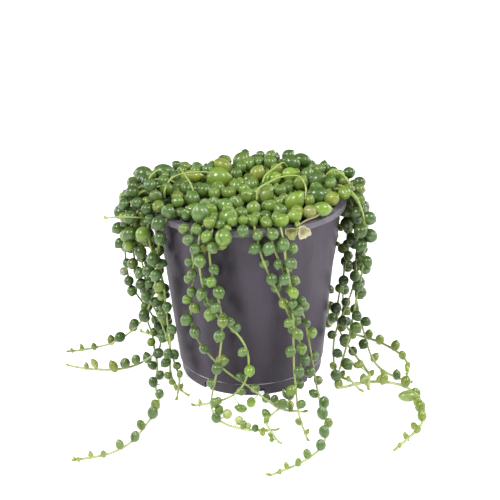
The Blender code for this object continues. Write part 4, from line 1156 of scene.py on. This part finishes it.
# ---------------------------------------------------------------- pot and soil
FLOOR = 1.8  # thickness of the pot's floor
DRAINS = 8
DRAIN_WIDTH = 4.0
DRAIN_FIRST = 7.0  # azimuth of the first
DRAIN_REACH = (BASE_RADIUS - 6.0, BASE_RADIUS + 4.0)  # distances from the pot's axis that they lie between
DRAIN_TOP = 4.5
SKIRT = 1.5  # thickness of the lip
FOOT_LINE = 8.0  # height of the moulded line round the foot
FOOT_STEP = 0.5  # how much narrower the wall is under it
FOOT_BEVEL = 0.4  # height of the bevel over the foot line
LINING = 12.0  # depth under the soil's top at which the wall's inside takes up the lip's width
BASE_RIM = 8.0  # width of the base's outer ring
EDGE_ROUND = 0.5  # radius of the pot's rounded edges
SHARP_FROM = 38.0  # angle in degrees from which an edge looks sharp
POT_AROUND = 160
EARTH_AROUND = 96
SOIL_ROWS = 24
MAT_ROWS = 12
PEAT_RISE = 0.45  # how far the peat's and the mat's tops rise and fall, and how far they sink
PEAT_SINK = 0.4
MAT_RISE = 0.7
MAT_SINK = 0.6


def wall_radius(z):
    return BASE_RADIUS + (NECK_RADIUS - BASE_RADIUS) * z / (POT_HEIGHT - LIP_DROP)


def rounded(profile, radius, steps=4):
    """The profile with each inner corner turned into an arc of that radius."""
    made = [profile[0]]
    for a, b, c in zip(profile, profile[1:], profile[2:]):
        a, b, c = Vector(a), Vector(b), Vector(c)
        reach = min(radius, (a - b).length * 0.45, (c - b).length * 0.45)
        start = b + (a - b).normalized() * reach
        end = b + (c - b).normalized() * reach
        for k in range(steps + 1):
            t = k / steps
            made.append(tuple(start * (1 - t) ** 2 + b * 2 * t * (1 - t) + end * t**2))
    return made + [profile[-1]]


def turned(name, profile, around, finish, wobble=None):
    """A solid turned about the pot's axis, its profile running from axis to axis."""
    points = []
    rings = []
    for radius, z in profile:
        if radius == 0:
            rings.append([len(points)] * around)
            points.append(Vector((0, 0, z)))
            continue
        rings.append(list(range(len(points), len(points) + around)))
        for k in range(around):
            point = round_pot(360 * k / around, radius, z)
            points.append(wobble(point) if wobble else point)
    faces = []
    for low, high in zip(rings, rings[1:]):
        for k in range(around):
            n = (k + 1) % around
            faces.append(list(dict.fromkeys((low[k], low[n], high[n], high[k]))))
    mesh = bpy.data.meshes.new(name)
    mesh.from_pydata([point * MM for point in points], [], faces)
    mesh.materials.append(finish)
    mesh.shade_smooth()
    made = bpy.data.objects.new(name, mesh)
    bpy.context.scene.collection.objects.link(made)
    return made


def make_pot():
    """The pot with rounded lip edges, the moulded foot line and the drain holes."""
    under = POT_HEIGHT - SKIRT
    lip = [
        (wall_radius(under) - WALL, SOIL_TOP - LINING),
        (wall_radius(under) - WALL, POT_HEIGHT),
        (RIM_RADIUS, POT_HEIGHT),
        (RIM_RADIUS, POT_HEIGHT - LIP_DROP),
        (RIM_RADIUS - SKIRT, POT_HEIGHT - LIP_DROP),
        (RIM_RADIUS - SKIRT, under),
        (wall_radius(under), under),
        (wall_radius(POT_HEIGHT / 2), POT_HEIGHT / 2),
        (wall_radius(FOOT_LINE + FOOT_BEVEL), FOOT_LINE + FOOT_BEVEL),
        (wall_radius(FOOT_LINE) + 0.1, FOOT_LINE),
        (wall_radius(FOOT_LINE) - FOOT_STEP, FOOT_LINE - FOOT_STEP),
        (BASE_RADIUS - FOOT_STEP, 0),
        (BASE_RADIUS - BASE_RIM, 0),
    ]
    profile = [(0, FLOOR), (wall_radius(FLOOR) - WALL, FLOOR), *rounded(lip, EDGE_ROUND), (0, 0)]
    pot = turned("pot_shell", profile, POT_AROUND, pot_material())
    pot.data.set_sharp_from_angle(angle=math.radians(SHARP_FROM))
    inner, outer = DRAIN_REACH
    for k in range(DRAINS):
        azimuth = DRAIN_FIRST + 360 * k / DRAINS
        bpy.ops.mesh.primitive_cube_add(size=1)
        slot = bpy.context.object
        slot.scale = Vector((DRAIN_WIDTH, outer - inner, 2 * DRAIN_TOP)) * MM
        slot.location = round_pot(azimuth, (inner + outer) / 2, 0) * MM
        slot.rotation_euler.z = math.radians(azimuth)
        cut = pot.modifiers.new("drain", "BOOLEAN")
        cut.operation = "DIFFERENCE"
        cut.object = slot
        bpy.context.view_layer.update()
        evaluated = pot.evaluated_get(bpy.context.evaluated_depsgraph_get())
        pot.data = bpy.data.meshes.new_from_object(evaluated)
        pot.modifiers.remove(cut)
        bpy.data.objects.remove(slot)
    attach(pot, "root")
    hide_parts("pot")


def make_soil(rng):
    """Peat with a crumbly top."""
    a, b, c = (rng.uniform(0, FULL_TURN) for _ in range(3))

    def crumbly(point):
        if point.z < SOIL_TOP - 1:
            return point
        x, y = point.x, point.y
        rise = math.sin(x * 0.9 + a) * math.sin(y * 1.1 + b) + 0.6 * math.sin(x * 2.3 + y * 1.7 + c)
        return point + Vector((0, 0, PEAT_RISE * rise - PEAT_SINK))

    bottom = FLOOR + GAP
    inner = GAP + WALL
    edge = wall_radius(SOIL_TOP) - inner
    shares = [k / SOIL_ROWS for k in range(1, SOIL_ROWS + 1)]
    top = [(edge * share, SOIL_TOP + SOIL_DOME * (1 - share**2)) for share in shares]
    profile = [(0, SOIL_TOP + SOIL_DOME), *top, (wall_radius(bottom) - inner, bottom), (0, bottom)]
    soil = turned("peat_fill", profile, EARTH_AROUND, soil_material(), crumbly)
    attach(soil, "root")
    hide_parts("soil")


# ---------------------------------------------------------------- stems, leaves and crown
def add_stem(growth, route, leaves, rng, young_stretch=34.0):
    """A stem, thicker where its leaves leave it, with its leaves on short stalks. Small leaves that are
    within the young stretch of its tip are paler and longer."""
    coarse = [Vector(p) for p in route[::2]]
    if len(route) % 2 == 0:
        coarse.append(Vector(route[-1]))
    line = smooth(coarse, LINE_STEP)
    roots = np.array([leaf.root for leaf in leaves])
    radii = []
    for k, point in enumerate(line):
        radius = STEM_THICK - STEM_LOSS * k / len(line)
        if point[2] < LOW_ROOT:
            radius *= PALE_THICK if point[0] > PALE_RUN else LYING_THICK
        if leaves:
            near = np.linalg.norm(roots - point, axis=1).min()
            radius *= 1 + JOINT_SWELL * math.exp(-((near / JOINT_REACH) ** 2))
        radii.append(radius)
    tint = blend_colours(STEM_GREEN, STEM_OLD, rng.uniform(-0.1, 0.35)) * rng.uniform(0.85, 1.1)
    tints = [blend_colours(tint, STEM_PALE, part_way(point[2], *PALING)) for point in line]
    tints[-1] = STEM_OLD
    growth.tube(line, radii, tints)
    for leaf in leaves:
        left = (Vector(route[-1]) - leaf.root).length
        young = max(0.0, 1 - left / young_stretch) if leaf.radius < YOUNG_SIZE else 0.0
        add_leaf(growth, leaf, tint, rng, young)


def add_leaf(growth, leaf, stem_tint, rng, young=0.0):
    if is_husk(leaf):
        return
    tint = leaf_tint(leaf, rng, young)
    long = 1.0 + LONG_YOUNG * young + rng.uniform(0, LONG_CHANCE)
    look = look_of(leaf)
    if look:
        tint, long = look.tint, look.long
        leaf = leaf._replace(radius=leaf.radius * look.size)
        if look.axis:
            leaf = leaf._replace(tip=leaf.centre + Vector(look.axis))
    elif leaf.root.z < LOW_ROOT:
        # leaves on the surface turn their points up
        axis = (leaf.tip - leaf.centre).normalized() + Vector((0, 0, rng.uniform(*LYING_LIFT)))
        leaf = leaf._replace(tip=leaf.centre + axis)
        long += LONG_LYING
    growth.leaf(leaf, tint, rng, long)
    add_stalk(growth, leaf, stem_tint)


def add_stalk(growth, leaf, tint):
    line = [leaf.root.lerp(leaf.centre, share) for share, _ in STALK]
    growth.tube(line, [STALK_RADIUS * thick for _, thick in STALK], tint, 6)


def add_extra(growth, extra, route, rng):
    centre = Vector(extra.centre)
    root = min((Vector(point) for point in route), key=lambda point: (point - centre).length)
    leaf = Leaf(root, centre, centre + Vector(extra.axis).normalized(), extra.radius)
    growth.leaf(leaf, extra.tint, rng, extra.long, 1.0)
    add_stalk(growth, leaf, STEM_PALE)


def growing_tip(growth, route, rng):
    """A bud of small pale leaves at a stem's end."""
    end = Vector(route[-1])
    forward = (end - Vector(route[-2])).normalized()
    for _ in range(BUD_LEAVES):
        out = Vector((rng.uniform(-1, 1), rng.uniform(-1, 1), rng.uniform(0.1, 1.0)))
        axis = (forward * 1.2 + out * 0.7).normalized()
        radius = rng.uniform(*BUD_RADII)
        centre = end + axis * radius * 1.1
        centre.z = max(centre.z, radius)
        bud = Leaf(end, centre, centre + axis, radius)
        growth.leaf(bud, YOUNG_GREEN * rng.uniform(0.9, 1.2), rng, BUD_LONG)


def rootlets(growth, leaves, rng):
    """Short dry roots at some joints of a stem that lies on the surface."""
    for leaf in leaves:
        if leaf.root.z > ROOTLET_TOP or rng.random() > ROOTLET_SHARE:
            continue
        out = Vector((rng.uniform(-1, 1), rng.uniform(-1, 1), 0)).normalized()
        length = rng.uniform(*ROOTLET_LENGTHS)
        start = leaf.root
        middle = start + out * length * 0.5 + Vector((0, 0, rng.uniform(-0.3, 0.8)))
        bend = Vector((rng.uniform(-1, 1), rng.uniform(-1, 1), rng.uniform(-1.0, 0.4)))
        end = start + out * length + bend
        middle.z = max(middle.z, 0.5)
        end.z = max(end.z, 0.4)
        line = smooth([start, middle, end], ROOTLET_STEP)
        growth.tube(line, np.linspace(*ROOTLET_RADII, len(line)), ROOTLET, 5)


def nearest_stem(extra, routes):
    centre = np.array(extra.centre)
    return min(range(len(routes)), key=lambda k: np.linalg.norm(np.array(routes[k]) - centre, axis=1).min())


def make_trailing(routes, leaves, skins):
    owners = [nearest_stem(extra, routes) for extra in EXTRAS]
    for k, (route, mine) in enumerate(zip(routes, leaves), 1):
        rng = random.Random(TRAILING_SEED + k)
        growth = Growth()
        add_stem(growth, route, mine, rng)
        for extra, owner in zip(EXTRAS, owners):
            if owner == k - 1:
                add_extra(growth, extra, route, rng)
        growing_tip(growth, route, rng)
        rootlets(growth, mine, rng)
        growth.build(f"stem_{k:02d}", f"trailing_stem_{k:02d}", skins)


def make_crown(sprigs, sprig_leaves, crown, skins):
    """The mat with its leaves, and the short stems."""
    radii = [CORE_RADIUS * k / MAT_ROWS for k in range(1, MAT_ROWS + 1)]
    profile = [(0, CORE_TOP), *((radius, core_height(radius)) for radius in radii)]
    profile += [(CORE_RADIUS, SOIL_TOP + 1.0), (0, SOIL_TOP + SOIL_DOME + 0.5)]

    def tangled(point):
        rise = math.sin(point.x * 0.8) * math.sin(point.y * 0.9 + 1)
        return point + Vector((0, 0, MAT_RISE * rise - MAT_SINK))

    core = turned("crown_mat", profile, EARTH_AROUND, mat_shade_material(), tangled)
    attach(core, "root")
    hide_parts("crown")
    rng = random.Random(CROWN_TINT_SEED)
    growth = Growth()
    for leaf in crown:
        add_leaf(growth, leaf, STALK_GREEN, rng)
    growth.build("crown_leaves", "crown", skins)
    growth = Growth()
    for route, mine in zip(sprigs, sprig_leaves):
        add_stem(growth, route, mine, rng, 4.0)
    growth.build("crown_sprigs", "crown", skins)


# ---------------------------------------------------------------- filling leaves, arching stems and husks
# Bands of smaller leaves that close the gaps: the azimuths, distances from the pot's axis and heights
# between which they lie, their radii, and how many places are tried.
Band = namedtuple("Band", "azimuths reaches heights radii tries")
BANDS = [
    Band((-33, 36), (53, 61), (111, 117), (3.2, 4.2), 1500),
    Band((-35, 24), (60, 66), (101, 113), (3.1, 3.9), 900),
    Band((-112, -68), (60, 76), (92, 120), (3.0, 4.2), 2000),
    Band((76, 112), (62, 72), (96, 118), (3.0, 4.2), 1200),
    Band((112, 196), (50, 70), (108, 121), (3.0, 4.2), 1800),
    Band((222, 248), (50, 70), (108, 119), (3.0, 4.2), 600),
    Band((-30, -8), (57, 65), (106, 118), (3.0, 3.8), 900),
    Band((-132, -92), (54, 72), (106, 121), (3.0, 3.9), 1500),
    Band((0, 360), (0, 53), (112, 119), (3.1, 4.0), 2500),
]
LAST_FILLS = [((-58, 37, 116), 3.0), ((-69, 31, 112), 3.4)]  # places and radii
FILL_SEED = 41
FILL_BARE = BARE_RADIUS + 7
FILL_REACH = 7.0  # furthest that a filling leaf may be from a stem
FILL_NEAR = 0.6  # nearest, in radii
FILL_PRESS = 0.93  # how near leaves may come to each other, in the sum of their radii
FILL_CLEAR = 0.1  # room kept between a filling leaf and the pot
# Stems that arch over the crown's leaves, as the points that they pass.
ARCHES = [
    [(-50, -12, 116), (-49, -13, 123), (-46, -3, 126), (-40, 3, 127), (-31, 6, 127), (-23, 7, 126),
     (-19, 8, 120)],
    [(-43, 18, 122), (-42, 16, 127), (-39, 5, 127), (-34, -10, 125), (-32, -14, 120)],
    [(5, -24, 118), (6, -22, 124), (12, -16, 126), (19, -9, 127), (27, -6, 127), (31, -8, 127),
     (33, -15, 126), (34, -22, 124), (33, -30, 120)],
    [(-60, -3, 120), (-60, -1, 125), (-57, 8, 127), (-54, 12, 127), (-50, 16, 122)],
    [(47, 5, 121), (49, 4, 125), (53, 3, 127), (57, -1, 126), (61, -8, 122), (62, -12, 116)],
    [(50, -2, 116), (55, -5, 120), (60, -14, 120), (64, -20, 117), (67, -22, 110), (69, -22, 102),
     (69, -22, 94)],
    [(9, 0, 121), (11, 3, 125), (16, 9, 127), (22, 19, 128), (25, 24, 124)],
]
TWIG = [(-60, -22, 108), (-68, -27, 110.5), (-75, -30, 112), (-82, -32, 112)]  # reaches out at the left
ARCH_STEP = 1.2
ARCH_RADII = (0.62, 0.5)
TWIG_RADIUS = 0.5
HUSK_STEM = [(42, -36, 116), (39, -45, 115), (33, -50, 114.5), (29, -55, 114), (26, -59, 112)]
Husk = namedtuple("Husk", "place radius tint")
HUSKS = [
    Husk((23.5, -60.5, 110.5), 3.4, OLIVE_GREEN * 0.6 + DRY * 0.3),
    Husk((30.5, -59.5, 110.5), 3.6, DRY),
]
HUSK_RINGS = 9
HUSK_AROUND = 24
HUSK_STEP = 1.0  # spacing of the rings along its stem
HUSK_STEM_RADII = (0.6, 0.4)
HUSK_ARC = (0.04, 0.54)  # where its skin starts and ends, in half turns from its bottom
HUSK_FOLDS = 0.16  # depth of its three folds at the edge, and of its seven creases, in radii
HUSK_CREASES = 0.09
HUSK_THIN = 0.90  # radius of its inside, in radii of its outside
HUSK_OPENING = (0.25, -1.0, 0.35)
HUSK_STRAY = 0.3  # how far a husk's opening may stray from that


def gap_places(rng):
    """The places and radii at which a filling leaf is tried."""
    for band in BANDS:
        for _ in range(band.tries):
            place = [rng.uniform(*ends) for ends in (band.azimuths, band.reaches, band.heights)]
            yield round_pot(*place), rng.uniform(*band.radii)


def fill_fits(here, radius, centres, radii, near):
    """Whether a filling leaf is clear of the bare place, the husks, the pot and the other leaves, and is at a
    fair distance from the nearest stem, which is given, or over the mat."""
    if (here.to_2d() - Vector(BARE_PLACE)).length < FILL_BARE:
        return False
    if any((here - Vector(husk.place)).length < radius + husk.radius + 1 for husk in HUSKS):
        return False
    if clearance(here, OUTLINE) < radius + FILL_CLEAR:
        return False
    if (np.linalg.norm(centres - np.array(here), axis=1) < (radii + radius) * FILL_PRESS).any():
        return False
    return near >= FILL_NEAR * radius and (near <= FILL_REACH or here.to_2d().length <= CORE_RADIUS)


def gap_leaves(leaves, lines):
    """Leaves that fill the bands, each from the nearest stem, or from the mat where no stem is near."""
    rng = random.Random(FILL_SEED)
    centres = np.array([leaf.centre for leaf in leaves])
    radii = np.array([leaf.radius for leaf in leaves])
    stems = np.concatenate(lines)
    made = []
    for here, radius in gap_places(rng):
        away = np.linalg.norm(stems - np.array(here), axis=1)
        if not fill_fits(here, radius, centres, radii, away.min()):
            continue
        root = Vector(stems[away.argmin()])
        if away.min() > FILL_REACH:
            root = Vector((here.x, here.y, core_height(here.to_2d().length) - 1))
        axis = ((here - root).normalized() + Vector((0, 0, rng.uniform(-0.6, 0.6)))).normalized()
        made.append(Leaf(root, here, here + axis * radius * TIP_REACH, radius))
        centres = np.vstack([centres, [here]])
        radii = np.append(radii, radius)
    for place, radius in LAST_FILLS:
        here = Vector(place)
        root = Vector(stems[np.linalg.norm(stems - np.array(place), axis=1).argmin()])
        axis = (here - root).normalized()
        made.append(Leaf(root, here, here + axis * radius * TIP_REACH, radius))
    return made


def make_filling(leaves, lines, rng, skins):
    growth = Growth()
    for leaf in gap_leaves(leaves, lines):
        add_leaf(growth, leaf, STALK_GREEN, rng)
    growth.build("filling_leaves", "crown", skins)


def curve(points, step):
    return smooth([Vector(point) for point in points], step)


def make_arches(rng, skins):
    """Stems that loop over the crown, and a twig that reaches out at its left."""
    growth = Growth()
    for points in ARCHES:
        line = curve(points, ARCH_STEP)
        tint = blend_colours(STEM_GREEN * 1.15, YOUNG_GREEN, rng.uniform(0, 0.5))
        growth.tube(line, np.linspace(*ARCH_RADII, len(line)), tint)
    line = curve(TWIG, ARCH_STEP)
    growth.tube(line, [TWIG_RADIUS] * len(line), STEM_GREEN)
    growing_tip(growth, TWIG, rng)
    growth.build("arching_stems", "crown", skins)


def is_husk(leaf):
    """Whether a dried husk takes this leaf's place."""
    return any((leaf.centre - Vector(husk.place)).length < husk.radius for husk in HUSKS)


def husk_points(husk, rng):
    """Rings of points from the bottom of a crumpled half shell to its edge and back down inside it."""
    place = Vector(husk.place)
    stray = Vector([rng.uniform(-HUSK_STRAY, HUSK_STRAY) for _ in range(3)])
    opening = (Vector(HUSK_OPENING) + stray).normalized()
    across = opening.orthogonal().normalized()
    other = opening.cross(across)
    depths = [k / (HUSK_RINGS - 1) for k in range(HUSK_RINGS)]
    rings = [(depth, husk.radius) for depth in depths]
    rings += [(depth, husk.radius * HUSK_THIN) for depth in reversed(depths)]
    points = []
    for depth, size in rings:
        angle = math.pi * (HUSK_ARC[0] + (HUSK_ARC[1] - HUSK_ARC[0]) * depth)
        for n in range(HUSK_AROUND):
            turn = 2 * math.pi * n / HUSK_AROUND
            folds = HUSK_FOLDS * math.sin(3 * turn + husk.radius * 9) + HUSK_CREASES * math.sin(7 * turn)
            ring = size * math.sin(angle) * (1 + folds * depth)
            height = -size * math.cos(angle) * (1 + 0.1 * math.sin(2 * turn))
            spoke = across * math.cos(turn) + other * math.sin(turn)
            points.append(place + spoke * ring + opening * height)
    return points


def make_husks(rng, skins):
    """Dried leaves, hollow and open, on a stem that lies over the lip."""
    growth = Growth()
    line = curve(HUSK_STEM, HUSK_STEP)
    growth.tube(line, np.linspace(*HUSK_STEM_RADII, len(line)), STEM_OLD * 1.3)
    for husk in HUSKS:
        growth.add(husk_points(husk, rng), ring_faces(2 * HUSK_RINGS, HUSK_AROUND), husk.tint)
    growth.build("dry_husks", "crown", skins)


# ---------------------------------------------------------------- camera, light and surface
CAMERA_TILT = 21.44  # degrees below level
CAMERA_PAN = 0.05
CAMERA_ROLL = -1.35
CAMERA_SPOT = (0.0, -0.5505, 0.2937)
LENS = 68.26
SENSOR = 36.0
# The softboxes: their names, places, sizes and powers.
Lamp = namedtuple("Lamp", "name place size power")
LAMPS = [
    Lamp("left_box", (-0.65, -0.68, 1.05), 0.45, 18),
    Lamp("right_box", (0.75, -0.60, 0.95), 0.40, 12),
    Lamp("left_side_box", (-1.10, 0.40, 0.45), 0.60, 7),
    Lamp("right_side_box", (1.05, 0.35, 0.45), 0.60, 8),
]
LAMP_AIM = (0, 0, 0.08)
AMBIENT = 0.16
FLOOR_GLOW = 0.56  # how much the white surface lights the plant from below
FLOOR_SHOWN = 0.8  # how much it glows as the camera sees it
WHITE = (1.0, 1.0, 1.0, 1.0)


def set_camera():
    tilt, pan, roll = (math.radians(angle) for angle in (CAMERA_TILT, CAMERA_PAN, CAMERA_ROLL))
    ahead = Vector((math.sin(pan), math.cos(tilt), -math.sin(tilt))).normalized()
    right = ahead.cross((0, 0, 1)).normalized()
    up = right.cross(ahead)
    leaned = right * math.cos(roll) + up * math.sin(roll)
    above = up * math.cos(roll) - right * math.sin(roll)
    data = bpy.data.cameras.new("camera")
    data.lens = LENS
    data.sensor_width = SENSOR
    camera = bpy.data.objects.new("camera", data)
    turn = Matrix((leaned, above, -ahead)).transposed().to_4x4()
    camera.matrix_world = Matrix.Translation(CAMERA_SPOT) @ turn
    bpy.context.scene.collection.objects.link(camera)
    bpy.context.scene.camera = camera


def set_lamps():
    for each in LAMPS:
        data = bpy.data.lights.new(each.name, "AREA")
        data.shape = "SQUARE"
        data.size = each.size
        data.energy = each.power
        lamp = bpy.data.objects.new(each.name, data)
        lamp.location = each.place
        lamp.rotation_euler = (Vector(LAMP_AIM) - Vector(each.place)).to_track_quat("-Z", "Y").to_euler()
        bpy.context.scene.collection.objects.link(lamp)


def set_world():
    """A white surround, which lights the plant less than it shows."""
    world = bpy.data.worlds.new("studio")
    tree = Tree(world)
    tree.set(tree.nodes["Background"].inputs, {"Color": WHITE, "Strength": tree.seen(AMBIENT, 1.0)})
    bpy.context.scene.world = world
    bpy.context.scene.view_settings.view_transform = "Standard"


def set_floor():
    bpy.ops.mesh.primitive_plane_add(size=12)
    floor = bpy.context.object
    floor.name = "studio_floor"
    made = bpy.data.materials.new("white_surface")
    tree = Tree(made)
    tree.surface({
        "Base Color": (0.9, 0.9, 0.9, 1.0),
        "Roughness": 0.8,
        "Specular IOR Level": 0.1,
        "Emission Color": WHITE,
        "Emission Strength": tree.seen(FLOOR_GLOW, FLOOR_SHOWN),
    })
    floor.data.materials.append(made)


def main():
    set_camera()
    set_world()
    set_floor()
    set_lamps()
    routes, leaves, sprigs, sprig_leaves, crown = layout()
    skins = (leaf_material(), stem_material())
    make_pot()
    make_soil(random.Random(SOIL_SEED))
    make_crown(sprigs, sprig_leaves, crown, skins)
    make_trailing(routes, leaves, skins)
    every = [leaf for mine in (*leaves, *sprig_leaves, crown) for leaf in mine]
    rng = random.Random(FILL_SEED)
    make_filling(every, routes + sprigs, rng, skins)
    make_arches(rng, skins)
    make_husks(rng, skins)


main()
